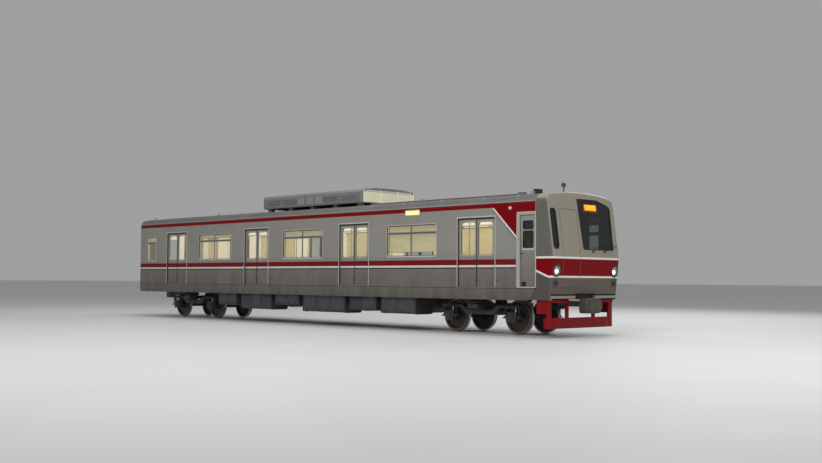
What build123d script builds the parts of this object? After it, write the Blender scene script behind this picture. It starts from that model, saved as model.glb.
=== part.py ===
from build123d import *
from math import atan2, cos, hypot, radians, sin, tan
import os

# A lead car of a metro train. Millimetres, +X towards the cab, +Y to the car's left, +Z up.
# The origin is midway along the car, at the lowest point of the wheel flanges.

# Clearances
FIT = 0.05                              # radial running clearance of a journal or pin
SEAT_GAP = 0.3                          # gap round a pane, or under a piece that turns or slides
RUN_GAP = 6                             # least gap between a moving piece and its neighbours
OVERCUT = 1                             # how far a cutter reaches past the face it cuts

# Driving sizes: running gear
FLANGE_DEPTH = 28
TREAD_RADIUS = 430
BACK_TO_BACK = 990
RIM_WIDTH = 125
RIM_INNER = 367                         # radius where a wheel's rim meets its web
HUB_RADIUS = 120
WHEELBASE = 2200
AXLE_RADIUS = 80
JOURNAL_RADIUS = 65
JOURNAL_END = 885
RAIL = FLANGE_DEPTH                     # height of the rail head in this frame
AXLE_Z = TREAD_RADIUS + FLANGE_DEPTH

# Driving sizes: body
BODY_LENGTH = 19500
WIDTH = 2800
COUPLER_REACH = 250                     # from the body's end to the coupler's face
BOGIE_INSET = 2850                      # from the body's end to the bogie's centre
FLOOR = RAIL + 1200
FLOOR_THICK = 60
SKIRT = RAIL + 885
EAVES = RAIL + 3300
CROWN = RAIL + 3620
CORNER_RADIUS = 240
UNDERFRAME_Z = RAIL + 960
ROOF_THICK = 35
END_WALL = 50

HALF = WIDTH / 2
REAR_X = -BODY_LENGTH / 2
NOSE_X = BODY_LENGTH / 2
BODY_START = REAR_X + END_WALL
BOGIE_X = NOSE_X - BOGIE_INSET
FLOOR_UNDER = FLOOR - FLOOR_THICK

# Driving sizes: side wall, from the outside in
SKIN = 30
POCKET = 48
LINING = 32
LEAF = 32
SKIN_IN = HALF - SKIN
LINING_OUT = SKIN_IN - POCKET
LINING_IN = LINING_OUT - LINING
LEAF_IN = LINING_OUT + (POCKET - LEAF) / 2
LEAF_OUT = LEAF_IN + LEAF

# Driving sizes: cab
CAB_BACK = NOSE_X - 529                 # where the moulded front begins
NOSE_Z = RAIL + 1955
RAKE = 7.8                              # degrees that the upper front leans back
TUCK = 6.35                             # degrees that the lower front leans back
NOSE_ROUND = 60
FRONT_WALL = 50
FRONT_LOW = RAIL + 1045
FRONT_SKIRT = RAIL + 900
CAB_FRAME = (CAB_BACK - 614, CAB_BACK)  # outer X limits of the side door's frame
CAB_FRAME_TOP = RAIL + 3090
CAB_OPENING = (CAB_BACK - 504, CAB_BACK - 12)
CAB_OPENING_TOP = RAIL + 3004
CAB_LEAF = (HALF - 60, HALF - 20)       # inner and outer face of the side door
CAB_GAP = 8
BULKHEAD_X = (CAB_FRAME[0] - 32, CAB_FRAME[0] - 2)

# Driving sizes: passenger doors and windows
DOOR_WIDTH = 1300
DOOR_TOP = RAIL + 3000
LEAF_TUCK = 30                          # how far a shut leaf reaches behind the jamb
LEAF_GAP = 4                            # between the two leaves of a doorway when shut
LEAF_RISE = 40                          # how far a leaf reaches above its opening
POST_GAP = 9                            # from an open leaf's back edge to the wall post
BULKHEAD_CLEAR = 6                      # from there to the bulkhead, by the front doorway
WALL_POST = 70
PANE = 8
DOOR_PANE = (55, 548)                   # window of a leaf, from the doorway's middle
GLASS_LOW = RAIL + 2035
GLASS_HIGH = RAIL + 2890
WINDOW_EDGE = 21                        # from a wall post to the window beside it
TRANSOM = (RAIL + 2630, RAIL + 2700)
WINDOW_POST = 50
PANE_CORNER = 85
REBATE = 14                             # depth of window frame left outside the glass

LEAF_TRAVEL = DOOR_WIDTH / 2
POST_OFFSET = DOOR_WIDTH / 2 + LEAF_TUCK + LEAF_TRAVEL + POST_GAP
FRONT_DOOR = BULKHEAD_X[0] - BULKHEAD_CLEAR - POST_OFFSET
DOOR_PITCH = FRONT_DOOR / 1.5
DOORS = [DOOR_PITCH * k for k in (-1.5, -0.5, 0.5, 1.5)]
WINDOW_OFFSET = POST_OFFSET + WALL_POST + WINDOW_EDGE
END_WINDOW = (REAR_X + 500, DOORS[0] - POST_OFFSET - WALL_POST - WINDOW_EDGE / 2)

# Driving sizes: hinges of the cab's doors
HINGE_OFF = 10                          # from a hinge's axis to the face of its leaf
HINGE_IN = 4                            # from the leaf's edge in to the axis
KNUCKLE = 9
HINGE_PIN = 5
KNUCKLE_TALL = 60
LUG_TALL = 20
LUG_FOOT = 30


def block(x0, x1, y0, y1, z0, z1):
    return Pos((x0 + x1) / 2, (y0 + y1) / 2, (z0 + z1) / 2) * Box(abs(x1 - x0), abs(y1 - y0), abs(z1 - z0))


def plate_y(x0, x1, z0, z1, y0, y1, radius):
    """A plate whose big faces look along Y, with rounded corners."""
    plane = Plane(origin=((x0 + x1) / 2, y0, (z0 + z1) / 2), x_dir=(1, 0, 0), z_dir=(0, 1, 0))
    return extrude(plane * RectangleRounded(x1 - x0, z1 - z0, radius), amount=y1 - y0)


def plate_x(y0, y1, z0, z1, x0, x1, radius):
    """A plate whose big faces look along X, with rounded corners."""
    plane = Plane(origin=(x0, (y0 + y1) / 2, (z0 + z1) / 2), x_dir=(0, 1, 0), z_dir=(1, 0, 0))
    return extrude(plane * RectangleRounded(y1 - y0, z1 - z0, radius), amount=x1 - x0)


def prism_y(points, y0, y1):
    """A polygon of (x, z) points carried from y0 to y1."""
    wire = Wire.make_polygon([Vector(x, y0, z) for x, z in points], close=True)
    return Solid.extrude(Face(wire), Vector(0, y1 - y0, 0))


def prism_x(points, x0, x1):
    """A polygon of (y, z) points carried from x0 to x1."""
    wire = Wire.make_polygon([Vector(x0, y, z) for y, z in points], close=True)
    return Solid.extrude(Face(wire), Vector(x1 - x0, 0, 0))


def prism_z(points, z0, z1):
    """A polygon of (x, y) points carried from z0 to z1."""
    wire = Wire.make_polygon([Vector(x, y, z0) for x, y in points], close=True)
    return Solid.extrude(Face(wire), Vector(0, 0, z1 - z0))


def rod(start, end, radius):
    """A round bar between two points."""
    axis = Vector(*end) - Vector(*start)
    return extrude(Plane(origin=start, z_dir=axis) * Circle(radius), amount=axis.length)


def flip(shape):
    """The same piece on the car's other side."""
    return mirror(shape, about=Plane.XZ)


def save(name, solids):
    export_step(Compound(children=list(solids)), f"parts/{name}.step")


def save_pair(name, solids):
    """Saves the solids of the car's left side together with those of its right."""
    save(name, list(solids) + [flip(solid) for solid in solids])


# Hinges: drawn with the axis along Z, the jamb towards +X and the leaf beyond HINGE_OFF towards +Y
def hinge_lugs():
    """The two lugs on the jamb and the pin between them."""
    low = KNUCKLE_TALL / 2 + SEAT_GAP
    high = low + LUG_TALL
    jamb = HINGE_IN + RUN_GAP
    lugs = rod((0, 0, -high), (0, 0, high), HINGE_PIN)
    for z0, z1 in ((-high, -low), (low, high)):
        lugs += rod((0, 0, z0), (0, 0, z1), KNUCKLE)
        lugs += block(0, LUG_FOOT, -KNUCKLE, KNUCKLE, z0, z1)
        lugs += block(jamb + 2, LUG_FOOT, 0, HINGE_OFF + 4, z0, z1)
    return lugs


def hinge_knuckle():
    """The knuckle on the leaf, which turns on the pin."""
    tall = KNUCKLE_TALL / 2
    knuckle = rod((0, 0, -tall), (0, 0, tall), KNUCKLE)
    knuckle += block(-KNUCKLE, HINGE_IN - 1, 0, HINGE_OFF + 2, -tall, tall)
    return knuckle - rod((0, 0, -tall - OVERCUT), (0, 0, tall + OVERCUT), HINGE_PIN + FIT)


# Body form
def body_section(inset, bottom, x):
    """The car's cross-section: straight sides, round eaves and a flat arch, all moved in by inset."""
    eave = (HALF - CORNER_RADIUS, EAVES)
    rise = EAVES - CROWN
    crown_radius = (eave[0] ** 2 + rise ** 2 - CORNER_RADIUS ** 2) / (-2 * rise - 2 * CORNER_RADIUS)
    low = (0, CROWN - crown_radius)
    reach = hypot(eave[0] - low[0], eave[1] - low[1])
    lean = atan2(eave[1] - low[1], eave[0] - low[0])
    r = CORNER_RADIUS - inset
    join = (low[0] + (reach + r) * cos(lean), low[1] + (reach + r) * sin(lean))
    middle = (eave[0] + r * cos(lean / 2), eave[1] + r * sin(lean / 2))
    half = HALF - inset

    def at(y, z):
        return Vector(x, y, z)

    wire = Wire([
        Edge.make_line(at(-half, bottom), at(half, bottom)),
        Edge.make_line(at(half, bottom), at(half, EAVES)),
        Edge.make_three_point_arc(at(half, EAVES), at(*middle), at(*join)),
        Edge.make_three_point_arc(at(*join), at(0, CROWN - inset), at(-join[0], join[1])),
        Edge.make_three_point_arc(at(-join[0], join[1]), at(-middle[0], middle[1]), at(-half, EAVES)),
        Edge.make_line(at(-half, EAVES), at(-half, bottom)),
    ])
    return Face(wire)


def body_form(inset, bottom, x0, x1):
    return Solid.extrude(body_section(inset, bottom, x0), Vector(x1 - x0, 0, 0))


NOSE_CLEAR = 100                        # how far a cutter for the front reaches beyond the nose


def front_x(z, inset=0):
    """Where the front face stands at a height, moved back by inset along its own normal."""
    lean = radians(RAKE if z >= NOSE_Z else TUCK)
    return NOSE_X - inset / cos(lean) - abs(z - NOSE_Z) * tan(lean)


def nose_form(inset, bottom, back, rounding=0):
    """The moulded front as a full form: the body's section cut by the raked and tucked front faces."""
    top = CROWN + NOSE_CLEAR
    kink = NOSE_Z + inset * (tan(radians(RAKE / 2)) - tan(radians(TUCK / 2)))
    face = [(front_x(bottom, inset), bottom), (front_x(kink, inset), kink), (front_x(top, inset), top)]
    wedge = prism_y([(back, bottom)] + face + [(back, top)], -WIDTH, WIDTH)
    form = body_form(inset, bottom, back, NOSE_X + NOSE_CLEAR) & wedge
    if rounding:
        middle = (CAB_BACK + NOSE_X) / 2
        side = HALF - inset
        corners = [e for e in form.edges()
                   if abs(abs(e.center().Y) - side) < 1 and e.center().X > middle
                   and e.length > CORNER_RADIUS]
        form = fillet(corners, rounding)
    return form


# Shell
def bays():
    """The wall between doorways on one side: X limits of each, and of its window if it has one."""
    edge = DOOR_WIDTH / 2
    rows = []
    for behind, ahead in zip(DOORS[:-1], DOORS[1:]):
        rows.append((behind + edge, ahead - edge, behind + WINDOW_OFFSET, ahead - WINDOW_OFFSET))
    rows.append((BODY_START, DOORS[0] - edge, *END_WINDOW))
    rows.append((DOORS[-1] + edge, CAB_FRAME[0], None, None))
    return rows


def side_panel(x0, x1, w0, w1):
    """One panel of the skin, with its window's rebate and, if the window is wide, its middle post."""
    panel = block(x0, x1, SKIN_IN, HALF, FLOOR, DOOR_TOP)
    if w0 is None:
        return panel
    seat = HALF - REBATE
    panel -= plate_y(w0, w1, GLASS_LOW, GLASS_HIGH, SKIN_IN - OVERCUT, seat, PANE_CORNER)
    lights = plate_y(w0, w1, GLASS_LOW, GLASS_HIGH, seat - OVERCUT, HALF + OVERCUT, PANE_CORNER)
    lights -= block(w0, w1, SKIN_IN, HALF + 2 * OVERCUT, *TRANSOM)
    if w1 - w0 > DOOR_WIDTH:
        middle = (w0 + w1) / 2
        lights -= block(middle - WINDOW_POST / 2, middle + WINDOW_POST / 2, SKIN_IN, HALF + 2 * OVERCUT,
                        GLASS_LOW, GLASS_HIGH)
    return panel - lights


def side_glass():
    seat = HALF - REBATE
    return [plate_y(w0 + SEAT_GAP, w1 - SEAT_GAP, GLASS_LOW + SEAT_GAP, GLASS_HIGH - SEAT_GAP,
                    seat - PANE, seat, PANE_CORNER)
            for _, _, w0, w1 in bays() if w0 is not None]


SILL_SLANT = ((CAB_BACK - 41, RAIL + 1146), (CAB_BACK - 265, RAIL + 889))


def sill_panel():
    """The long skirt below the floor line, with its slanted end under the cab door."""
    (x_top, z_top), (x_low, z_low) = SILL_SLANT
    outline = [(BODY_START, SKIRT), (x_low - (z_low - SKIRT), SKIRT), (x_low, z_low), (x_top, z_top),
               (x_top, FLOOR), (BODY_START, FLOOR)]
    return prism_y(outline, SKIN_IN, HALF)


SIGN_X = (DOOR_PITCH - 230, DOOR_PITCH + 320)
SIGN_Z = (RAIL + 3160, RAIL + 3290)
SIGN_Y = (HALF - 60, HALF - 3)


def cantrail():
    """The rail over the doorways, cut out for the cab door's frame and the side sign."""
    rail = block(BODY_START, CAB_BACK, SKIN_IN, HALF, DOOR_TOP, EAVES)
    rail -= block(CAB_FRAME[0], CAB_FRAME[1] + OVERCUT, SKIN_IN - OVERCUT, HALF + OVERCUT,
                  DOOR_TOP - OVERCUT, CAB_FRAME_TOP)
    return rail - block(*SIGN_X, SKIN_IN - OVERCUT, HALF + OVERCUT, *SIGN_Z)


def side_sign():
    (x0, x1), (z0, z1) = SIGN_X, SIGN_Z
    return block(x0 + SEAT_GAP, x1 - SEAT_GAP, *SIGN_Y, z0 + SEAT_GAP, z1 - SEAT_GAP)


def lining_panel(x0, x1, w0, w1):
    end = min(x1, BULKHEAD_X[0])
    panel = block(x0, end, LINING_IN, LINING_OUT, FLOOR, DOOR_TOP)
    if w0 is not None:
        panel -= plate_y(w0, w1, GLASS_LOW, GLASS_HIGH, LINING_IN - OVERCUT, LINING_OUT + OVERCUT,
                         PANE_CORNER)
    return panel


DOOR_RAIL_Y = (LEAF_IN + 8, LEAF_IN + 20)
DOOR_RAIL_Z = (DOOR_TOP + LEAF_RISE + 22, DOOR_TOP + LEAF_RISE + 42)


def door_portal(x):
    """The two posts at the back of a doorway's pockets and the rail that its leaves hang on."""
    ahead = CAB_FRAME[0] - x if x == DOORS[-1] else POST_OFFSET + WALL_POST
    rear = block(x - POST_OFFSET - WALL_POST, x - POST_OFFSET, LINING_OUT, SKIN_IN, FLOOR, EAVES)
    front = block(x + POST_OFFSET, x + ahead, LINING_OUT, SKIN_IN, FLOOR, EAVES)
    rail = block(x - POST_OFFSET, x + POST_OFFSET, *DOOR_RAIL_Y, *DOOR_RAIL_Z)
    return rear + rail + front


# Roof and ceiling
CEILING_EDGE = RAIL + 3250
CEILING_TOP = RAIL + 3390
CEILING_FLAT = HALF - 500
CEILING_THICK = 20


def roof():
    shell = body_form(0, FLOOR, BODY_START, CAB_BACK)
    shell -= body_form(ROOF_THICK, FLOOR - OVERCUT, BODY_START - OVERCUT, CAB_BACK + OVERCUT)
    return shell - block(BODY_START, CAB_BACK, -HALF, HALF, FLOOR - OVERCUT, EAVES)


def ceiling():
    """The arched ceiling and the headers over the doorways, as flat strips that meet edge to edge."""
    header = [(LINING_OUT, DOOR_TOP), (LINING_OUT, EAVES), (LINING_IN, EAVES), (LINING_IN, DOOR_TOP)]
    slope = [(LINING_IN, CEILING_EDGE), (LINING_IN, CEILING_EDGE + CEILING_THICK),
             (CEILING_FLAT, CEILING_TOP + CEILING_THICK), (CEILING_FLAT, CEILING_TOP)]
    sides = [prism_x(outline, BODY_START, BULKHEAD_X[0]) for outline in (header, slope)]
    middle = block(BODY_START, BULKHEAD_X[0], -CEILING_FLAT, CEILING_FLAT,
                   CEILING_TOP, CEILING_TOP + CEILING_THICK)
    return sides + [flip(side) for side in sides] + [middle]


# Rear end
GANGWAY_HALF = 400
GANGWAY_TOP = RAIL + 3050
GANGWAY_CORNER = 60
GANGWAY_RAIL_Z = (GANGWAY_TOP + 20, GANGWAY_TOP + 40)
GANGWAY_RAIL_DEEP = 24
GANGWAY_LEAF_X = (BODY_START + 36, BODY_START + 66)
GANGWAY_OVERLAP = 20
GANGWAY_TRAVEL = LINING_IN - 490
GANGWAY_WINDOW = (-220, 220, RAIL + 2050, RAIL + 2850)
HOOK_IN = 120                           # from the end door's edge to the middle of its hook
HOOK_HALF = 50
HOOK_THICK = 8


def rear_wall():
    """The end wall as four panels round the gangway's opening, with the rail of the end door."""
    wall = body_form(0, UNDERFRAME_Z, REAR_X, BODY_START)
    x0, x1 = REAR_X - OVERCUT, BODY_START + OVERCUT
    side = wall & block(x0, x1, GANGWAY_HALF, HALF + OVERCUT, 0, CROWN)
    over = wall & block(x0, x1, -GANGWAY_HALF, GANGWAY_HALF, GANGWAY_TOP, CROWN + OVERCUT)
    under = wall & block(x0, x1, -GANGWAY_HALF, GANGWAY_HALF, 0, FLOOR)
    left = GANGWAY_HALF + GANGWAY_OVERLAP
    rail = block(BODY_START, BODY_START + GANGWAY_RAIL_DEEP, -left - GANGWAY_TRAVEL, left, *GANGWAY_RAIL_Z)
    return [side, flip(side), over, under, rail]


def gangway_door():
    """The end door: a leaf that hangs on the rail by two hooks and slides to the car's right."""
    half = GANGWAY_HALF + GANGWAY_OVERLAP
    x0, x1 = GANGWAY_LEAF_X
    hook_top = GANGWAY_RAIL_Z[1] + 15
    leaf = block(x0, x1, -half, half, FLOOR + RUN_GAP, GANGWAY_TOP + RUN_GAP)
    leaf -= plate_x(*GANGWAY_WINDOW, x0 - OVERCUT, x1 + OVERCUT, GANGWAY_CORNER)
    for y in (-half + HOOK_IN, half - HOOK_IN):
        y0, y1 = y - HOOK_HALF, y + HOOK_HALF
        leaf += block(x0, x0 + HOOK_THICK, y0, y1, GANGWAY_TOP, hook_top)
        leaf += block(BODY_START + HOOK_THICK, x0 + HOOK_THICK, y0, y1, GANGWAY_RAIL_Z[1] + SEAT_GAP,
                      hook_top)
    return leaf


BELLOWS_X = (REAR_X - 240, REAR_X)
BELLOWS_OUT = (560, FLOOR - 110, RAIL + 3160)
BELLOWS_WALL = 110
BELLOWS_FOLDS = 3
BELLOWS_STEP = 30
BELLOWS_CORNER = 120


def gangway_bellows():
    """The folded gangway: a rounded ring whose folds step in and out."""
    half, low, high = BELLOWS_OUT
    fold = (BELLOWS_X[1] - BELLOWS_X[0]) / (2 * BELLOWS_FOLDS)
    ring = None
    for k in range(2 * BELLOWS_FOLDS):
        step = BELLOWS_STEP if k % 2 else 0
        x0 = BELLOWS_X[0] + k * fold
        hoop = plate_x(-half + step, half - step, low + step, high - step, x0, x0 + fold, BELLOWS_CORNER)
        ring = hoop if ring is None else ring + hoop
    hole = plate_x(-half + BELLOWS_WALL, half - BELLOWS_WALL, low + BELLOWS_WALL, high - BELLOWS_WALL,
                   BELLOWS_X[0] - OVERCUT, BELLOWS_X[1] + OVERCUT, GANGWAY_CORNER)
    return ring - hole


# Floor and underframe
CAB_FLOOR_X = (CAB_BACK, NOSE_X - 150)
CAB_FLOOR_HALF = HALF - FRONT_WALL - 5
SILL_BOX = 100                          # width of a side sill
SILL_IN = SKIN_IN - SILL_BOX
MEMBER_Z = UNDERFRAME_Z + 30            # underside of a cross member
MEMBER_HALF = 60
EQUIPMENT_HALF = BOGIE_X - 2000         # half of the length between the bogies left for equipment
CROSS_MEMBERS = [EQUIPMENT_HALF * k / 3 for k in range(-3, 4)]
OVER_BOGIE = (BOGIE_X - 300, BOGIE_X + 300)
END_MEMBER_X = BOGIE_X + 1400
HEADSTOCK = (NOSE_X - 250, NOSE_X - 190)
HEADSTOCK_HALF = HALF - 150
REAR_STOCK = (BODY_START, BODY_START + 100)
CENTRE_SILL = 200
PIVOT_PIN = 60
PIVOT_PIN_DEEP = 150
COUPLER_PIVOT_X = NOSE_X - 850
COUPLER_Z = RAIL + 800
COUPLER_BAR = 70
COUPLER_EYE = 110
COUPLER_PIN = 40
FORK_THICK = 70
FORK_BACK = (COUPLER_PIVOT_X - 210, COUPLER_PIVOT_X - 130)


def floor():
    cab = block(*CAB_FLOOR_X, -CAB_FLOOR_HALF, CAB_FLOOR_HALF, FLOOR_UNDER, FLOOR)
    return block(BODY_START, CAB_BACK, -SKIN_IN, SKIN_IN, FLOOR_UNDER, FLOOR) + cab


def coupler_fork():
    """The forked bracket under the centre sill that holds the front coupler's eye, and its pin."""
    y = COUPLER_EYE
    end = COUPLER_PIVOT_X + COUPLER_EYE
    top = COUPLER_Z + COUPLER_BAR + SEAT_GAP
    low = COUPLER_Z - COUPLER_BAR - SEAT_GAP
    back = block(*FORK_BACK, -y, y, low - FORK_THICK, UNDERFRAME_Z)
    upper = block(FORK_BACK[1], end, -y, y, top, UNDERFRAME_Z)
    lower = block(FORK_BACK[1], end, -y, y, low - FORK_THICK, low)
    pin = rod((COUPLER_PIVOT_X, 0, low), (COUPLER_PIVOT_X, 0, top), COUPLER_PIN)
    return [back, upper, lower, pin]


def bolster_station():
    """What stands over the front bogie: the beam, the pivot pin under it and the coupler's bracket."""
    beam = block(*OVER_BOGIE, -SKIN_IN, SKIN_IN, UNDERFRAME_Z, FLOOR_UNDER)
    pin = rod((BOGIE_X, 0, UNDERFRAME_Z - PIVOT_PIN_DEEP), (BOGIE_X, 0, UNDERFRAME_Z), PIVOT_PIN)
    return [beam, pin] + coupler_fork()


def underframe():
    """Welded beams that meet face to face, each a solid of its own."""
    def beam(x0, x1, y0, y1, low=UNDERFRAME_Z):
        return block(x0, x1, y0, y1, low, FLOOR_UNDER)

    beams = []
    near, far = OVER_BOGIE
    sill_end = SILL_SLANT[1][0] - 50
    for x0, x1 in ((REAR_STOCK[1], -far), (-near, near), (far, sill_end)):
        sill = beam(x0, x1, SILL_IN, SKIN_IN)
        beams += [sill, flip(sill)]
    for x in CROSS_MEMBERS:
        beams.append(beam(x - MEMBER_HALF, x + MEMBER_HALF, -SILL_IN, SILL_IN, MEMBER_Z))
    for x in (-END_MEMBER_X, END_MEMBER_X):
        half = beam(x - MEMBER_HALF, x + MEMBER_HALF, CENTRE_SILL, SILL_IN, MEMBER_Z)
        beams += [half, flip(half)]
    beams.append(beam(far, HEADSTOCK[0], -CENTRE_SILL, CENTRE_SILL))
    beams.append(beam(REAR_STOCK[1], -far, -CENTRE_SILL, CENTRE_SILL))
    beams.append(beam(*HEADSTOCK, -HEADSTOCK_HALF, HEADSTOCK_HALF))
    beams.append(beam(*REAR_STOCK, -SKIN_IN, SKIN_IN))
    station = bolster_station()
    return beams + station + [mirror(s, about=Plane.YZ) for s in station]


# Passenger door leaves
HANGER = 110                            # width of a hanger at the top of a leaf
HANGER_IN = 120                         # from a leaf's edge to the middle of its hanger
HANGER_THICK = 6
HANGER_RISE = 12


def door_leaf(x, way):
    """One leaf of the doorway at x. way is +1 for the leaf that opens forwards."""
    x0, x1 = sorted((x + way * LEAF_GAP / 2, x + way * (DOOR_WIDTH / 2 + LEAF_TUCK)))
    w0, w1 = sorted((x + way * DOOR_PANE[0], x + way * DOOR_PANE[1]))
    hook = DOOR_RAIL_Z[1] + HANGER_RISE
    leaf = block(x0, x1, LEAF_IN, LEAF_OUT, FLOOR + RUN_GAP, DOOR_TOP + LEAF_RISE)
    leaf -= plate_y(w0, w1, GLASS_LOW, GLASS_HIGH, LEAF_IN - OVERCUT, LEAF_OUT + OVERCUT, PANE_CORNER)
    for centre in (x0 + HANGER_IN, x1 - HANGER_IN):
        h0, h1 = centre - HANGER / 2, centre + HANGER / 2
        leaf += block(h0, h1, LEAF_OUT - HANGER_THICK, LEAF_OUT, DOOR_TOP, hook)
        leaf += block(h0, h1, DOOR_RAIL_Y[0], LEAF_OUT, DOOR_RAIL_Z[1] + SEAT_GAP, hook)
    return leaf


def leaf_pane(x, way):
    w0, w1 = sorted((x + way * DOOR_PANE[0], x + way * DOOR_PANE[1]))
    middle = (LEAF_IN + LEAF_OUT) / 2
    return plate_y(w0 + SEAT_GAP, w1 - SEAT_GAP, GLASS_LOW + SEAT_GAP, GLASS_HIGH - SEAT_GAP,
                   middle - PANE / 2, middle + PANE / 2, PANE_CORNER)


# Cab front
WINDSHIELD = [                          # (y, z) corners of the windscreen, clockwise from the low inner one
    (-130, RAIL + 2165), (-200, RAIL + 3445), (HALF - 760, RAIL + 3445), (HALF - 310, RAIL + 3325),
    (HALF - 210, RAIL + 3250), (HALF - 245, RAIL + 2165)]
SLIT = (70 - HALF, 290 - HALF, RAIL + 2165, RAIL + 3160)
SLIT_CORNER = 90
ESCAPE_Y = (444 - HALF, 1136 - HALF)
ESCAPE_Z = (RAIL + 1204, RAIL + 3156)
ESCAPE_THICK = 45
ESCAPE_HINGE_Y = [ESCAPE_Y[0] + (ESCAPE_Y[1] - ESCAPE_Y[0]) * share for share in (1 / 6, 1 / 2, 5 / 6)]
LAMP_Y = HALF - 190
HEAD_LAMP = (RAIL + 1627, 130)          # height and radius
TAIL_LAMP = (RAIL + 1310, 100)
LAMP_THICK = 90
LAMP_PROUD = 4
FRONT_PANE = (10, 20)                   # how deep the two faces of the front's glass lie
SKIRT_WEB = (15, 20, 6)                 # the side web: off the slant, into the front, off the sill


def escape_hinges():
    """Along the emergency door's lower edge, proud of the tucked lower front."""
    lean = radians(TUCK)
    z = ESCAPE_Z[0] + RUN_GAP + HINGE_IN
    x = front_x(z) + HINGE_OFF
    return [Plane(origin=(x, y, z), x_dir=(-sin(lean), 0, -cos(lean)), z_dir=(0, 1, 0)).location
            for y in ESCAPE_HINGE_Y]


def front_layer(outer, inner):
    """The part of the front that lies between two depths under its surface."""
    return nose_form(outer, FRONT_SKIRT, CAB_BACK) - nose_form(inner, FRONT_SKIRT - 10, CAB_BACK - 10)


def cab_front():
    """The moulded front as a shell, cut for its windows, its door and its lamps."""
    end = NOSE_X + NOSE_CLEAR
    shell = nose_form(0, FRONT_SKIRT, CAB_BACK, NOSE_ROUND)
    shell -= nose_form(FRONT_WALL, FRONT_SKIRT - 10, CAB_BACK - 10)
    inner = HALF - FRONT_WALL
    shell -= block(CAB_BACK + FRONT_WALL, end, -inner, inner, FRONT_SKIRT - 10, FRONT_LOW)
    shell -= prism_x(WINDSHIELD, CAB_BACK, end)
    shell -= plate_x(*SLIT, CAB_BACK, end, SLIT_CORNER)
    shell -= block(CAB_BACK, end, *ESCAPE_Y, *ESCAPE_Z)
    for z, radius in (HEAD_LAMP, TAIL_LAMP):
        for y in (-LAMP_Y, LAMP_Y):
            shell -= rod((CAB_BACK, y, z), (end, y, z), radius + SEAT_GAP)
    (x_top, z_top), (x_low, z_low) = SILL_SLANT
    off_slant, into_front, off_sill = SKIRT_WEB
    web = prism_y([(x_low + off_slant, FRONT_SKIRT), (CAB_BACK + into_front, FRONT_SKIRT),
                   (CAB_BACK + into_front, z_top), (x_top + off_sill, z_top)], SKIN_IN, HALF)
    shell += web + flip(web)
    for place in escape_hinges():
        shell += place * hinge_lugs()
    return shell


def cab_glass():
    """The windscreen and the slit window, set back from the front face in their openings."""
    layer = front_layer(*FRONT_PANE)
    end = NOSE_X + NOSE_CLEAR
    screen = layer & prism_x(WINDSHIELD, CAB_BACK, end)
    slit = layer & plate_x(SLIT[0] + SEAT_GAP, SLIT[1] - SEAT_GAP, SLIT[2] + SEAT_GAP, SLIT[3] - SEAT_GAP,
                           CAB_BACK, end, SLIT_CORNER)
    return [screen, slit]


def escape_door():
    """The front emergency door, a slab of the front wall that drops forward on its lower edge."""
    slab = front_layer(0, ESCAPE_THICK)
    slab &= block(CAB_BACK + FRONT_WALL, NOSE_X + NOSE_CLEAR, ESCAPE_Y[0] + RUN_GAP, ESCAPE_Y[1] - RUN_GAP,
                  ESCAPE_Z[0] + RUN_GAP, ESCAPE_Z[1] - RUN_GAP)
    for place in escape_hinges():
        slab += place * hinge_knuckle()
    return slab


def lamp(z, radius):
    """A round lamp body whose lens follows the front, a little proud of it."""
    cover = nose_form(-LAMP_PROUD, FRONT_SKIRT, CAB_BACK)
    return rod((front_x(z) - LAMP_THICK, LAMP_Y, z), (NOSE_X + NOSE_CLEAR, LAMP_Y, z), radius) & cover


# Cab side doors
CAB_WINDOW = (CAB_BACK - 426, CAB_BACK - 96, RAIL + 2188, RAIL + 2867)
CAB_BAR = (RAIL + 2595, RAIL + 2672)
CAB_PANE_CORNER = 40
CAB_STEP = (CAB_BACK - 480, CAB_BACK - 323, RAIL + 1231, RAIL + 1351)
CAB_STEP_DEEP = 25
CAB_STEP_CORNER = 20
CAB_HINGE_Z = (FLOOR + 200, FLOOR + 900, FLOOR + 1600)


def cab_hinges():
    """Where the side door's hinges stand: on its front edge, inboard of the leaf."""
    x = CAB_OPENING[1] - RUN_GAP - HINGE_IN
    return [Plane(origin=(x, CAB_LEAF[0] - HINGE_OFF, z), x_dir=(1, 0, 0), z_dir=(0, 0, 1)).location
            for z in CAB_HINGE_Z]


def cab_door_frame():
    bounds = block(*CAB_FRAME, LINING_IN, HALF, FLOOR, CAB_FRAME_TOP)
    frame = bounds - block(*CAB_OPENING, LINING_IN - OVERCUT, HALF + OVERCUT, FLOOR - OVERCUT,
                           CAB_OPENING_TOP)
    for place in cab_hinges():
        frame += (place * hinge_lugs()) & bounds
    return frame


def cab_door():
    y0, y1 = CAB_LEAF
    leaf = block(CAB_OPENING[0] + CAB_GAP, CAB_OPENING[1] - RUN_GAP, y0, y1, FLOOR + RUN_GAP,
                 CAB_OPENING_TOP - RUN_GAP)
    x0, x1, z0, z1 = CAB_WINDOW
    for low, high in ((z0, CAB_BAR[0]), (CAB_BAR[1], z1)):
        leaf -= plate_y(x0, x1, low, high, y0 - OVERCUT, y1 + OVERCUT, CAB_PANE_CORNER)
    leaf -= plate_y(*CAB_STEP, y1 - CAB_STEP_DEEP, y1 + OVERCUT, CAB_STEP_CORNER)
    for place in cab_hinges():
        leaf += place * hinge_knuckle()
    return leaf


def cab_door_panes():
    x0, x1, z0, z1 = CAB_WINDOW
    y = (CAB_LEAF[0] + CAB_LEAF[1]) / 2
    return [plate_y(x0 + SEAT_GAP, x1 - SEAT_GAP, low + SEAT_GAP, high - SEAT_GAP,
                    y - PANE / 2, y + PANE / 2, CAB_PANE_CORNER)
            for low, high in ((z0, CAB_BAR[0]), (CAB_BAR[1], z1))]


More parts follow.
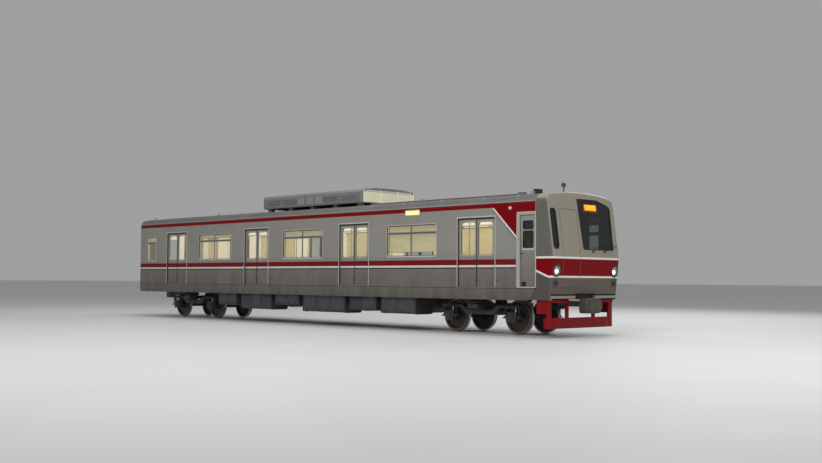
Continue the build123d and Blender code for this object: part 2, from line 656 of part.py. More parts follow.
# Cab's rear wall
BULKHEAD_DOOR = (500 - HALF, 1150 - HALF)
BULKHEAD_DOOR_TOP = RAIL + 3000
BULKHEAD_DOOR_WINDOW = (640 - HALF, 1010 - HALF, RAIL + 2100, RAIL + 2800)
BULKHEAD_WINDOW = (60, HALF - 500, RAIL + 2100, RAIL + 2850)
BULKHEAD_CORNER = 50


def bulkhead_hinges():
    """On the bulkhead door's outer edge, on the saloon's side of it."""
    y = BULKHEAD_DOOR[0] + RUN_GAP + HINGE_IN
    return [Plane(origin=(BULKHEAD_X[0] - HINGE_OFF, y, z), x_dir=(0, -1, 0), z_dir=(0, 0, 1)).location
            for z in CAB_HINGE_Z]


def bulkhead():
    x0, x1 = BULKHEAD_X[0] - OVERCUT, BULKHEAD_X[1] + OVERCUT
    wall = block(*BULKHEAD_X, -LINING_OUT, LINING_OUT, FLOOR, EAVES)
    wall -= block(x0, x1, *BULKHEAD_DOOR, FLOOR - OVERCUT, BULKHEAD_DOOR_TOP)
    wall -= plate_x(*BULKHEAD_WINDOW, x0, x1, BULKHEAD_CORNER)
    for place in bulkhead_hinges():
        wall += place * hinge_lugs()
    return wall


def bulkhead_door():
    x0, x1 = BULKHEAD_X[0] - OVERCUT, BULKHEAD_X[1] + OVERCUT
    leaf = block(*BULKHEAD_X, BULKHEAD_DOOR[0] + RUN_GAP, BULKHEAD_DOOR[1] - RUN_GAP, FLOOR + RUN_GAP,
                 BULKHEAD_DOOR_TOP - RUN_GAP)
    leaf -= plate_x(*BULKHEAD_DOOR_WINDOW, x0, x1, BULKHEAD_CORNER)
    for place in bulkhead_hinges():
        leaf += place * hinge_knuckle()
    return leaf


# Driver's place
DESK_Y = (-180, HALF - 220)
DESK = [                                # (distance back from the nose, height) of the desk's outline
    (450, FLOOR), (190, FLOOR), (150, RAIL + 1990), (350, RAIL + 2010), (500, RAIL + 1930),
    (500, RAIL + 1890), (420, RAIL + 1840)]
SEAT_X = NOSE_X - 890
SEAT_Y = 500
SEAT_HIGH = 430
SEAT_FOOT = (170, 20)                   # radius and thickness of the pedestal's foot
SEAT_POST = 50
SEAT_PAN = 210
SEAT_PLATE = 20
SEAT_BACK_HIGH = 480
DRIVER_PAD = 70
DRIVER_PAD_HALF = 205


def cab_desk():
    return prism_y([(NOSE_X - back, z) for back, z in DESK], *DESK_Y)


def driver_seat_base():
    """Pedestal, pan and back plate of the driver's seat."""
    pan_z = FLOOR + SEAT_HIGH
    radius, thick = SEAT_FOOT
    back = (SEAT_X - SEAT_PAN, SEAT_X - SEAT_PAN + SEAT_PLATE)
    y0, y1 = SEAT_Y - SEAT_PAN, SEAT_Y + SEAT_PAN
    base = rod((SEAT_X, SEAT_Y, FLOOR), (SEAT_X, SEAT_Y, FLOOR + thick), radius)
    base += rod((SEAT_X, SEAT_Y, FLOOR), (SEAT_X, SEAT_Y, pan_z), SEAT_POST)
    base += block(back[0], SEAT_X + SEAT_PAN, y0, y1, pan_z - SEAT_PLATE, pan_z)
    base += block(*back, y0, y1, pan_z, pan_z + SEAT_BACK_HIGH)
    return base


def driver_pads():
    """The seat's two pads: one on the pan, one on the front of the back plate."""
    pan_z = FLOOR + SEAT_HIGH
    plate = SEAT_X - SEAT_PAN + SEAT_PLATE
    y0, y1 = SEAT_Y - DRIVER_PAD_HALF, SEAT_Y + DRIVER_PAD_HALF
    seat = block(plate + DRIVER_PAD + 20, SEAT_X + SEAT_PAN - 5, y0, y1, pan_z, pan_z + DRIVER_PAD)
    back = block(plate, plate + DRIVER_PAD, y0, y1, pan_z + DRIVER_PAD + 20, pan_z + SEAT_BACK_HIGH + 20)
    return [seat, back]


# Saloon
BENCH_DEEP = 430
BENCH_BOX_DEEP = 370
BENCH_END = 60                          # from a bench's end to the doorway
BENCH_LOW = 330
BENCH_PAD = 90
BENCH_BACK = 380
BENCH_BACK_THICK = 70
BENCH_GAP = 3
END_BENCH = (REAR_X + 150, DOORS[0] - DOOR_WIDTH / 2 - 120)
POLE_Y = LINING_IN - BENCH_DEEP - 25
POLE_RADIUS = 16
POLE_IN = 30                            # from a bench's end to its pole
RACK_Z = RAIL + 2950
RACK_DEEP = 330
RACK_TUBE = 25
RACK_IN = 60                            # from a bench's end to the rack over it
RACK_TIES = 4
RACK_BARS = (80, 160, 240)              # distance of the rack's inner bars from the wall
RACK_BAR = 16


def benches():
    """X limits of the benches of one side."""
    spans = [(x0 + BENCH_END, x1 - BENCH_END) for x0, x1, w0, w1 in bays()[:-2]]
    return spans + [END_BENCH]


def seat_bases():
    return [block(x0, x1, LINING_IN - BENCH_BOX_DEEP, LINING_IN, FLOOR, FLOOR + BENCH_LOW)
            for x0, x1 in benches()]


def seat_cushions():
    """A seat pad and a back pad for each bench, clear of each other."""
    pads = []
    top = FLOOR + BENCH_LOW
    for x0, x1 in benches():
        pads.append(block(x0, x1, LINING_IN - BENCH_DEEP, LINING_IN - BENCH_GAP, top, top + BENCH_PAD))
        pads.append(block(x0, x1, LINING_IN - BENCH_BACK_THICK, LINING_IN, top + BENCH_PAD + BENCH_GAP,
                          top + BENCH_PAD + BENCH_BACK))
    return pads


def luggage_rack(x0, x1):
    """Front tube, inner bars and the ties that carry them from the wall."""
    edge = LINING_IN - RACK_DEEP
    half = RACK_TUBE / 2
    rack = block(x0, x1, edge, edge + RACK_TUBE, RACK_Z, RACK_Z + RACK_TUBE)
    pitch = (x1 - x0 - 2 * RACK_TUBE) / (RACK_TIES - 1)
    for k in range(RACK_TIES):
        x = x0 + RACK_TUBE + k * pitch
        rack += block(x - half, x + half, edge, LINING_IN, RACK_Z, RACK_Z + RACK_TUBE)
    for off in RACK_BARS:
        y = LINING_IN - off
        rack += block(x0, x1, y - RACK_BAR / 2, y + RACK_BAR / 2, RACK_Z + half - RACK_BAR / 2,
                      RACK_Z + half + RACK_BAR / 2)
    return rack


def handrails():
    """Upright poles at the bench ends and racks over the benches, each tied to the wall."""
    pieces = []
    for x0, x1 in benches():
        for x in (x0 + POLE_IN, x1 - POLE_IN):
            pieces.append(rod((x, POLE_Y, FLOOR), (x, POLE_Y, CEILING_TOP), POLE_RADIUS))
        pieces.append(luggage_rack(x0 + RACK_IN, x1 - RACK_IN))
    return pieces


# Roof equipment
UNIT_X = (-2450, 2420)
UNIT_Z = RAIL + 3650
UNIT_SIDE = HALF - 280
UNIT_HALF = [                           # (y, z) of the roof unit's half section, from its foot up
    (UNIT_SIDE, UNIT_Z), (UNIT_SIDE, UNIT_Z + 330), (UNIT_SIDE - 80, UNIT_Z + 410),
    (UNIT_SIDE - 560, UNIT_Z + 460), (0, UNIT_Z + 470)]
UNIT_ROUND = 70
UNIT_FEET_X = (-2200, -1100, 0, 1100, 2200)
UNIT_FOOT = (90, 70, HALF - 450)        # half length, half width and Y of a foot
AERIAL_X = NOSE_X - 750
AERIAL_POST = (16, 180)                 # radius and height
AERIAL_FOOT = (60, 12)
AERIAL_BULB = 62
ROOF_BOX = (NOSE_X - 970, NOSE_X - 850, 440 - HALF, 660 - HALF)
ROOF_BOX_HIGH = 70


def roof_unit():
    """The air conditioner: a long box with rounded ends and sloping shoulders, on feet."""
    outline = UNIT_HALF + [(-y, z) for y, z in UNIT_HALF[-2::-1]]
    unit = prism_x(outline, *UNIT_X)
    corners = [e for e in unit.edges().filter_by(Axis.Z) if abs(abs(e.center().Y) - UNIT_SIDE) < 1]
    unit = fillet(corners, UNIT_ROUND)
    under = body_form(-SEAT_GAP, FLOOR, BODY_START, CAB_BACK)
    half_x, half_y, out = UNIT_FOOT
    for x in UNIT_FEET_X:
        for y in (-out, out):
            foot = block(x - half_x, x + half_x, y - half_y, y + half_y, EAVES, UNIT_Z + UNIT_ROUND)
            unit += foot - under
    return unit


def roof_antennas():
    """The aerial with its bulb, and the low box beside it."""
    low = CROWN + SEAT_GAP
    post = CROWN + AERIAL_POST[1]
    aerial = rod((AERIAL_X, 0, low), (AERIAL_X, 0, post), AERIAL_POST[0])
    aerial += rod((AERIAL_X, 0, low), (AERIAL_X, 0, CROWN + AERIAL_FOOT[1]), AERIAL_FOOT[0])
    aerial += Pos(AERIAL_X, 0, post + AERIAL_BULB * 0.7) * Sphere(AERIAL_BULB)
    roof_top = body_form(-SEAT_GAP, FLOOR, CAB_FRAME[0], CAB_BACK)
    return [aerial, block(*ROOF_BOX, EAVES, CROWN + ROOF_BOX_HIGH) - roof_top]


# Under the floor
BOX_ROWS = {                            # side: (start, end) as shares of EQUIPMENT_HALF, and depth
    1: [(-0.96, -0.64, 560), (-0.59, -0.27, 480), (-0.22, 0.14, 600), (0.19, 0.47, 520),
        (0.51, 0.73, 580), (0.78, 1, 430)],
    -1: [(-0.96, -0.74, 500), (-0.69, -0.35, 590), (-0.31, -0.06, 430), (-0.02, 0.39, 600),
         (0.43, 0.67, 500), (0.71, 1, 560)]}
BOX_DEEP = 650
TANKS = [(-0.92, -0.62), (-0.53, -0.19), (0.31, 0.62)]
TANK_RADIUS = 180
TANK_DOME = 80
TANK_Z = RAIL + 720
STRAP_IN = 400                          # from a tank's end to its strap
STRAP_HALF = 30


def underfloor_boxes():
    boxes = []
    for side, rows in BOX_ROWS.items():
        y0, y1 = sorted((side * (SILL_IN - BOX_DEEP), side * SILL_IN))
        for start, end, deep in rows:
            x0, x1 = start * EQUIPMENT_HALF, end * EQUIPMENT_HALF
            boxes.append(block(x0, x1, y0, y1, MEMBER_Z - deep, MEMBER_Z))
    return boxes


def air_tanks():
    """Air tanks along the middle, each with domed ends and two straps up to the floor."""
    tanks = []
    for start, end in TANKS:
        x0, x1 = start * EQUIPMENT_HALF, end * EQUIPMENT_HALF
        tank = rod((x0, 0, TANK_Z), (x1, 0, TANK_Z), TANK_RADIUS)
        tank = fillet(tank.edges().filter_by(GeomType.CIRCLE), TANK_DOME)
        for x in (x0 + STRAP_IN, x1 - STRAP_IN):
            tank += block(x - STRAP_HALF, x + STRAP_HALF, -TANK_RADIUS, TANK_RADIUS, TANK_Z, FLOOR_UNDER)
        tanks.append(tank)
    return tanks


# Front end below the floor
GUARD_X = HEADSTOCK
GUARD_HALF = HALF - FRONT_WALL - 2
GUARD_BARS = [(500, 600), (GUARD_HALF - 160, GUARD_HALF)]
GUARD_BAR_X = (HEADSTOCK[0] - 10, HEADSTOCK[1] - 20)
GUARD_TOP = (RAIL + 834, RAIL + 900)
GUARD_LOW = (RAIL + 200, RAIL + 460)
BLADE_SWEEP = 60                        # how far back the blade's ends stand
BLADE_THICK = 80
BLADE_FLAT = (GUARD_HALF - 280, GUARD_HALF - 300)    # half of the straight part, in front and behind
STRUT_X = (NOSE_X - 550, NOSE_X - 490)
STRUT_Y = (GUARD_HALF - 60, GUARD_HALF)
STRUT_WEB_LOW = RAIL + 560
STEP_X = (NOSE_X - 150, NOSE_X - 70)
STEP_Y = (410, HALF - FRONT_WALL)
STEP_Z = (RAIL + 940, RAIL + 1010)
STEP_BRACKETS = (520, HALF - 280)
BRACKET_HALF = 30


def front_guard():
    """The guard below the cab: a low blade, two pairs of uprights, top bars and struts that run back."""
    x0, x1 = GUARD_X
    back = x1 - BLADE_THICK
    half = [(x1, BLADE_FLAT[0]), (x1 - BLADE_SWEEP, GUARD_HALF), (back - BLADE_SWEEP, GUARD_HALF),
            (back, BLADE_FLAT[1])]
    guard = prism_z(half + [(x, -y) for x, y in half[::-1]], *GUARD_LOW)
    top = [UNDERFRAME_Z, GUARD_TOP[1]]
    for (y0, y1), high in zip(GUARD_BARS, top):
        bar = block(*GUARD_BAR_X, y0, y1, GUARD_LOW[0], high)
        guard += bar + flip(bar)
    rail = block(x0, x1, GUARD_BARS[0][0], GUARD_BARS[1][1], *GUARD_TOP)
    strut = block(STRUT_X[0], GUARD_BAR_X[1], *STRUT_Y, STRUT_WEB_LOW, GUARD_TOP[1])
    strut += block(*STRUT_X, *STRUT_Y, GUARD_TOP[0], FLOOR_UNDER)
    return guard + rail + flip(rail) + strut + flip(strut)


def front_step():
    """A grey bar under the front, beside the coupler, on brackets from the headstock."""
    bar = block(*STEP_X, *STEP_Y, *STEP_Z)
    for y in STEP_BRACKETS:
        bar += block(HEADSTOCK[1], STEP_X[0], y - BRACKET_HALF, y + BRACKET_HALF, UNDERFRAME_Z, STEP_Z[1])
    return bar


COUPLER_FACE = NOSE_X + COUPLER_REACH
COUPLER_HEADS = {                       # half width, reach below and above the centre, corner radius
    "front": (320, 230, 150, 130),
    "rear": (150, 160, 150, 50)}
COUPLER_STEPS = [380, 280, 40]          # X of the neck, the shoulder and the rim, back from the face
COUPLER_ROUND = 30
COUPLER_ROOT = 90                       # half width where the neck meets the drawbar
COUPLER_FACE_IN = 50                    # from the head's outline to that of its flat face


def coupler(half, below, above, corner):
    """Drawbar with its eye and a rounded head with a flat face."""
    neck, shoulder, rim = [COUPLER_FACE - back for back in COUPLER_STEPS]
    low, high = COUPLER_Z - below, COUPLER_Z + above
    bar_z = (COUPLER_Z - COUPLER_BAR, COUPLER_Z + COUPLER_BAR)
    head = plate_x(-half, half, low, high, neck, rim, corner)
    head = fillet(head.edges().group_by(Axis.X)[-1], COUPLER_ROUND)
    head &= prism_z([(neck, -COUPLER_ROOT), (shoulder, -half), (rim, -half), (rim, half), (shoulder, half),
                     (neck, COUPLER_ROOT)], low, high)
    face = COUPLER_FACE_IN
    head += plate_x(face - half, half - face, low + face, high - face, rim, COUPLER_FACE, corner - face / 2)
    bar = rod((COUPLER_PIVOT_X, 0, bar_z[0]), (COUPLER_PIVOT_X, 0, bar_z[1]), COUPLER_EYE - 10)
    bar += block(COUPLER_PIVOT_X, neck + COUPLER_ROUND, -COUPLER_BAR, COUPLER_BAR, *bar_z)
    return bar + head - rod((COUPLER_PIVOT_X, 0, 0), (COUPLER_PIVOT_X, 0, FLOOR), COUPLER_PIN + FIT)


# Running gear, drawn about the bogie's centre
FRAME_Y = (760, 880)
FRAME_MID = (FRAME_Y[0] + FRAME_Y[1]) / 2
FRAME_TOP = RAIL + 740
SPRING_SEAT = RAIL + 660
FRAME_HALF = WHEELBASE / 2 + 250
FRAME_DIP = 620                         # where the frame begins to dip between the axles
TUBE_X = 350
TUBE_Z = RAIL + 550
TUBE_RADIUS = 60
BRAKE_UNIT = (40, 120, 700, RAIL + 470, RAIL + 600)
SHOE_GAP = 7
BEAM = (180, 1150, RAIL + 640, RAIL + 760)
BEAM_FOOT = (100, 50, RAIL + 620)
PIVOT_SEAT = 160
AIR_SPRING = (930, 250, 60)             # Y, radius and rounding
BOX_HALF = 130
BOX_Y = (740, 900)
BOX_LOW = 130
BOX_CAP = (95, 30)                      # radius, and how far the cap stands out
WING_Y = (750, 890)
WING_Z = (RAIL + 400, RAIL + 430)
COIL_X = 210
COIL_RADIUS = 68
WING_REACH = COIL_X + 80


def wheelset():
    """Axle and two wheels, turned as one piece about the Y axis."""
    inner = BACK_TO_BACK / 2
    outer = inner + RIM_WIDTH
    tip = TREAD_RADIUS + FLANGE_DEPTH
    web = (inner + 50, inner + 80)
    hub = (inner - 25, inner + 155)
    half = [(0, AXLE_RADIUS), (hub[0], AXLE_RADIUS), (hub[0], HUB_RADIUS), (web[0], HUB_RADIUS + 15),
            (web[0], RIM_INNER - 2), (inner, RIM_INNER + 3), (inner, tip - 8), (inner + 8, tip),
            (inner + 20, tip), (inner + 32, TREAD_RADIUS + 2), (outer, TREAD_RADIUS - 3),
            (outer, RIM_INNER + 3), (web[1], RIM_INNER - 2), (web[1], HUB_RADIUS + 15), (hub[1], HUB_RADIUS),
            (hub[1], JOURNAL_RADIUS), (JOURNAL_END, JOURNAL_RADIUS), (JOURNAL_END, 0)]
    outline = [(-y, r) for y, r in half[:0:-1]] + half
    wire = Wire.make_polygon([Vector(0, y, AXLE_Z + r) for y, r in outline], close=True)
    return Solid.revolve(Face(wire), 360, Axis((0, 0, AXLE_Z), (0, 1, 0)))


def side_frame():
    """One side of the bogie: level over the axle boxes, dipping between them."""
    half = [(FRAME_HALF, SPRING_SEAT), (FRAME_HALF, FRAME_TOP), (FRAME_DIP, FRAME_TOP),
            (FRAME_DIP - 200, RAIL + 620)]
    low = [(FRAME_DIP - 140, RAIL + 480), (FRAME_DIP + 80, SPRING_SEAT)]
    outline = half + [(-x, z) for x, z in half[::-1]] + [(-x, z) for x, z in low[::-1]] + low
    return prism_y(outline, *FRAME_Y)


def bogie_frame():
    """Two side frames, two cross tubes and the brake units that they carry."""
    frame = side_frame() + flip(side_frame())
    reach = FRAME_Y[0] + 10
    for x in (-TUBE_X, TUBE_X):
        frame += rod((x, -reach, TUBE_Z), (x, reach, TUBE_Z), TUBE_RADIUS)
    near, far, end, low, high = BRAKE_UNIT
    inner = BACK_TO_BACK / 2
    for ax in (-1, 1):
        x = ax * WHEELBASE / 2
        wheel = rod((x, -HALF, AXLE_Z), (x, HALF, AXLE_Z), TREAD_RADIUS + SHOE_GAP)
        for ay in (-1, 1):
            unit = block(ax * TUBE_X, ax * end, ay * (inner + near), ay * (inner + far), low, high)
            frame += unit - wheel
    return frame


def bolster():
    """The cross beam that rests on the side frames, with the seat and bore for the body's pivot."""
    half_x, half_y, low, high = BEAM
    foot_x, foot_y, foot_z = BEAM_FOOT
    beam = block(-half_x, half_x, -half_y, half_y, low, high)
    for y in (-FRAME_MID, FRAME_MID):
        beam += block(-foot_x, foot_x, y - foot_y, y + foot_y, foot_z, low)
    beam += rod((0, 0, high), (0, 0, UNDERFRAME_Z - SEAT_GAP), PIVOT_SEAT)
    return beam - rod((0, 0, low - OVERCUT), (0, 0, UNDERFRAME_Z + OVERCUT), PIVOT_PIN + FIT)


def bogie_springs():
    """Air bags on the beam and coil springs on the axle boxes."""
    pieces = []
    out, radius, rounding = AIR_SPRING
    for y in (-out, out):
        bag = rod((0, y, BEAM[3]), (0, y, UNDERFRAME_Z - RUN_GAP), radius)
        pieces.append(fillet(bag.edges().filter_by(GeomType.CIRCLE), rounding))
    for ax in (-1, 1):
        for way in (-1, 1):
            x = ax * WHEELBASE / 2 + way * COIL_X
            for y in (-FRAME_MID, FRAME_MID):
                pieces.append(rod((x, y, WING_Z[1]), (x, y, SPRING_SEAT), COIL_RADIUS))
    return pieces


def axle_boxes():
    """A box on each journal, with the wings that carry the coil springs and a round cap."""
    pieces = []
    y0, y1 = BOX_Y
    for ax in (-1, 1):
        x = ax * WHEELBASE / 2
        box = block(x - BOX_HALF, x + BOX_HALF, y0, y1, AXLE_Z - BOX_LOW, AXLE_Z + BOX_LOW)
        box += block(x - WING_REACH, x + WING_REACH, *WING_Y, *WING_Z)
        box += rod((x, y1 - 5, AXLE_Z), (x, y1 + BOX_CAP[1], AXLE_Z), BOX_CAP[0])
        box -= rod((x, y0 - OVERCUT, AXLE_Z), (x, JOURNAL_END + OVERCUT, AXLE_Z), JOURNAL_RADIUS + FIT)
        pieces += [box, flip(box)]
    return pieces


def main():
    os.makedirs("parts", exist_ok=True)
    save_pair("side_panels", [side_panel(*row) for row in bays()])
    save_pair("window_glass", side_glass())
    save_pair("sill_panels", [sill_panel()])
    save_pair("cantrails", [cantrail()])
    save_pair("destination_signs", [side_sign()])
    save_pair("side_linings", [lining_panel(*row) for row in bays()])
    save_pair("door_portals", [door_portal(x) for x in DOORS])
    save("roof", [roof()])
    save("ceiling", ceiling())
    save("rear_wall", rear_wall())
    save("gangway_door", [gangway_door()])
    save("gangway_bellows", [gangway_bellows()])
    save("floor", [floor()])
    save("underframe", underframe())
    for way, way_name in ((1, "forward"), (-1, "rearward")):
        leaves = [door_leaf(x, way) for x in DOORS]
        panes = [leaf_pane(x, way) for x in DOORS]
        save(f"door_leaves_left_{way_name}", leaves)
        save(f"door_glass_left_{way_name}", panes)
        save(f"door_leaves_right_{way_name}", [flip(s) for s in leaves])
        save(f"door_glass_right_{way_name}", [flip(s) for s in panes])
    save("cab_front", [cab_front()])
    save("cab_glass", cab_glass())
    save("front_escape_door", [escape_door()])
    save_pair("headlamps", [lamp(*HEAD_LAMP)])
    save_pair("tail_lamps", [lamp(*TAIL_LAMP)])
    save_pair("cab_door_frames", [cab_door_frame()])
    save("cab_door_left", [cab_door()])
    save("cab_door_right", [flip(cab_door())])
    save("cab_door_glass_left", cab_door_panes())
    save("cab_door_glass_right", [flip(s) for s in cab_door_panes()])
    save("bulkhead", [bulkhead()])
    save("bulkhead_door", [bulkhead_door()])
    save("cab_desk", [cab_desk()])
    save("driver_seat_base", [driver_seat_base()])
    save("driver_seat_pads", driver_pads())
    save_pair("seat_bases", seat_bases())
    save_pair("seat_cushions", seat_cushions())
    save_pair("handrails", handrails())
    save("roof_unit", [roof_unit()])
    save("roof_antennas", roof_antennas())
    save("underfloor_boxes", underfloor_boxes())
    save("air_tanks", air_tanks())
    save("front_guard", [front_guard()])
    save_pair("front_steps", [front_step()])
    save("coupler_front", [coupler(*COUPLER_HEADS["front"])])
    save("coupler_rear", [mirror(coupler(*COUPLER_HEADS["rear"]), about=Plane.YZ)])
    axles = []
    for sign, end in ((1, "front"), (-1, "rear")):
        at = Pos(sign * BOGIE_X, 0, 0)
        save(f"bogie_frame_{end}", [at * bogie_frame()])
        save(f"bolster_{end}", [at * bolster()])
        save(f"springs_{end}", [at * s for s in bogie_springs()])
        save(f"axle_boxes_{end}", [at * s for s in axle_boxes()])
        axles += [sign * BOGIE_X + WHEELBASE / 2, sign * BOGIE_X - WHEELBASE / 2]
    for number, x in enumerate(axles, 1):
        save(f"wheelset_{number}", [Pos(x, 0, 0) * wheelset()])


main()
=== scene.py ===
from math import asin, cos, hypot, pi, radians, sin, tan

import bmesh
import bpy
from mathutils import Matrix, Vector


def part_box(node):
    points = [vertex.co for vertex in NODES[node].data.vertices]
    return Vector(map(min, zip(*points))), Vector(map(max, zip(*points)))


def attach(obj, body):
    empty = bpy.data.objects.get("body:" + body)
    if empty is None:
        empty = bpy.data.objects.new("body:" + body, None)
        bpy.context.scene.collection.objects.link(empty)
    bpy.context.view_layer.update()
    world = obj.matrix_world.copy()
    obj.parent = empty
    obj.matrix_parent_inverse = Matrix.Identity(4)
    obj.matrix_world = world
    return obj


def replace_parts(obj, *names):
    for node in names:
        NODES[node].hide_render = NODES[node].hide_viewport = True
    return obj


# The looks of a metro lead car. Metres, +X towards the cab, +Y to the car's left, +Z up.
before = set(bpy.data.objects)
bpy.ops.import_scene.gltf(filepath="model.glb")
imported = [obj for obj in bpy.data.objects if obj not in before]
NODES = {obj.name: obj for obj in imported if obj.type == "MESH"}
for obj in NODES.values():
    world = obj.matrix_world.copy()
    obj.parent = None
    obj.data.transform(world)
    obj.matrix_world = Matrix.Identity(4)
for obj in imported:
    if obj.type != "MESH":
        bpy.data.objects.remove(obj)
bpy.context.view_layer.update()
RAIL = 0.028


def up(*heights):
    """One or more heights above the rail head, as heights in the frame."""
    made = tuple(RAIL + height for height in heights)
    return made if len(made) > 1 else made[0]


def near(middle, half):
    """The span that reaches half to both sides of the middle."""
    return middle - half, middle + half


def span(base, low, high):
    """A span whose ends are given from a base."""
    return base + low, base + high


def grow(limits, by):
    """A span made longer at both ends."""
    return limits[0] - by, limits[1] + by


def shares(limits, size, gap):
    """A span cut into equal parts of about one size, each a gap shorter at both ends."""
    low, high = limits
    count = max(1, round((high - low) / size))
    step = (high - low) / count
    return [(low + k * step + gap, low + (k + 1) * step - gap) for k in range(count)]


# Sizes that the looks share with the frame
HALF = 1.4
SKIN_BACK = 1.352
FLOOR, DOOR_TOP, EAVES, CROWN = up(1.2, 3.0, 3.3, 3.62)
REAR_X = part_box("rear_wall")[0].x
NOSE_X = 9.75
NOSE_Z = up(1.955)
NOSE_ROUND = 0.06
RAKE = radians(7.8)
TUCK = radians(6.35)
CAB_FRAME = (8.607, 9.221)
CAB_OPENING = (8.717, 9.209)
BULKHEAD_MID = 8.59
DOOR_PITCH = 4.82
DOORS = [DOOR_PITCH * k for k in (-1.5, -0.5, 0.5, 1.5)]
DOOR_HALF = 0.65
GLASS = up(2.035, 2.89)
PANE_CORNER = 0.085
WINDOWS = [near(x, 0.98) for x in (-DOOR_PITCH, 0, DOOR_PITCH)]
WINDOWS.append(span(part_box("window_glass")[0].x, 0, 0.5986))
AXLE_Z = up(0.43)
BOGIE_X = 6.9
AXLE_OFF = 1.1

# Livery, with the painted shadow under the belt: heights from the rail head, read off the photograph through
# the fitted camera
BELT_RED = up(1.77, 1.914)
BELT_WHITE = up(1.712, 1.77)
# Painted shadow: a dark band under the belt's white line, the shadow of the belt moulding
BELT_SHADOW = up(1.682, 1.712)
BELT_END = 8.58
GUTTER = span(EAVES, 0.042, 0.066)
TOP_RED = (up(3.23), GUTTER[0])
CAB_RED = (up(3.09), GUTTER[0])
CAB_RED_END = 9.205
FRONT_RED_TOP = up(1.923)
FRONT_WHITE = 0.05
SIDE_BAND_LOW = ((9.226, up(1.597)), (9.6, up(1.452)))
DIAGONAL = ((7.85, up(3.22)), (8.62, up(2.465)))
DIAGONAL_FROM = 7.6


def srgb(r, g, b):
    """Linear colour from display values of 0 to 255."""
    def one(v):
        v /= 255
        return v / 12.92 if v <= 0.04045 else ((v + 0.055) / 1.055) ** 2.4
    return (one(r), one(g), one(b), 1.0)


def shade(color, share):
    """A colour made darker or lighter."""
    return tuple(min(1.0, c * share) for c in color[:3]) + (1.0,)


SILVER = srgb(175, 172, 164)
# Painted shade for the outer sides below the belt
SILVER_PAINTED_SHADE = srgb(104, 100, 94)
SILVER_DARK = srgb(152, 149, 145)
RED = srgb(122, 0, 12)
WHITE = srgb(226, 224, 218)
LINE_DARK = srgb(46, 40, 44)
MASK = srgb(151, 146, 132)
# Painted shade: the mask's paint darkened for the fascia under the red band
FASCIA_PAINTED_SHADE = srgb(101, 95, 85)
CORNER = srgb(91, 89, 83)
# Painted shade: the corners' tone below the band's lower white line
CORNER_PAINTED_SHADE = srgb(66, 62, 58)
# Dirt colour, also laid on as painted shade towards the bottom
GRIME_AND_SHADE = srgb(70, 62, 54)
CAB_DARK = srgb(98, 106, 99)


# Shader graphs
class Graph:
    """One material's node tree. A value is a socket or a plain number, a mask a value of 0 to 1."""

    def __init__(self, name):
        self.material = bpy.data.materials.new(name)
        self.material.use_nodes = True
        self.tree = self.material.node_tree
        self.tree.nodes.clear()
        self.coords = self.add("ShaderNodeTexCoord").outputs["Object"]
        self.x, self.y, self.z = self.node("ShaderNodeSeparateXYZ", {0: self.coords}).outputs

    def add(self, kind, **settings):
        node = self.tree.nodes.new(kind)
        for key, value in settings.items():
            setattr(node, key, value)
        return node

    def link(self, value, socket):
        if isinstance(value, bpy.types.NodeSocket):
            self.tree.links.new(value, socket)
        else:
            socket.default_value = value

    def node(self, kind, inputs, **settings):
        """A node with its inputs filled in, by name or number."""
        node = self.add(kind, **settings)
        for key, value in inputs.items():
            self.link(value, node.inputs[key])
        return node

    def math(self, operation, a, b=0.0, clamp=False):
        return self.node("ShaderNodeMath", {0: a, 1: b}, operation=operation, use_clamp=clamp).outputs[0]

    def plus(self, a, b):
        return self.math("ADD", a, b)

    def minus(self, a, b):
        return self.math("SUBTRACT", a, b)

    def size(self, value):
        return self.math("ABSOLUTE", value)

    def times(self, *values):
        """The product, which for masks is where all of them are 1."""
        made = values[0]
        for value in values[1:]:
            made = self.math("MULTIPLY", made, value)
        return made

    def most(self, *values):
        """The largest, which for masks is where any of them is 1."""
        made = values[0]
        for value in values[1:]:
            made = self.math("MAXIMUM", made, value)
        return made

    def remap(self, value, ends):
        return self.node("ShaderNodeMapRange", {"Value": value, **ends}, clamp=True).outputs[0]

    def above(self, value, limit, soft=0.0015):
        """0 below the limit and 1 above it, with an edge soft metres to both sides."""
        return self.remap(value, {"From Min": limit - soft, "From Max": limit + soft})

    def below(self, value, limit, soft=0.0015):
        return self.minus(1.0, self.above(value, limit, soft))

    def band(self, value, low, high, soft=0.0015):
        return self.times(self.above(value, low, soft), self.below(value, high, soft))

    def spread(self, value, low, high):
        """Maps 0 to 1 onto low to high."""
        return self.remap(value, {"To Min": low, "To Max": high})

    def mix(self, share, a, b):
        return self.node("ShaderNodeMix", {0: share, 6: a, 7: b}, data_type="RGBA").outputs[2]

    def noise(self, scale, detail=3.0, stretch=(1, 1, 1)):
        place = self.node("ShaderNodeMapping", {"Vector": self.coords, "Scale": stretch}).outputs[0]
        inputs = {"Vector": place, "Scale": scale, "Detail": detail, "Roughness": 0.55}
        return self.node("ShaderNodeTexNoise", inputs).outputs["Fac"]

    def wave(self, axis_value, pitch):
        """A smooth ripple along a coordinate, from its middle value of 0.5 up to 1."""
        turn = self.times(axis_value, 2 * pi / pitch)
        return self.spread(self.math("SINE", turn), 0.5, 1.0)

    def bump(self, height, distance, strength=1.0):
        inputs = {"Height": height, "Distance": distance, "Strength": strength}
        return self.node("ShaderNodeBump", inputs).outputs[0]

    def finish(self, color, roughness=0.5, metallic=0.0, normal=None, **constants):
        """Closes the graph with one Principled shader. Constants are set on its own sockets."""
        inputs = {"Base Color": color, "Roughness": roughness, "Metallic": metallic}
        if normal is not None:
            inputs["Normal"] = normal
        inputs.update((key.replace("_", " "), value) for key, value in constants.items())
        shader = self.node("ShaderNodeBsdfPrincipled", inputs)
        self.node("ShaderNodeOutputMaterial", {"Surface": shader.outputs[0]})
        return self.material


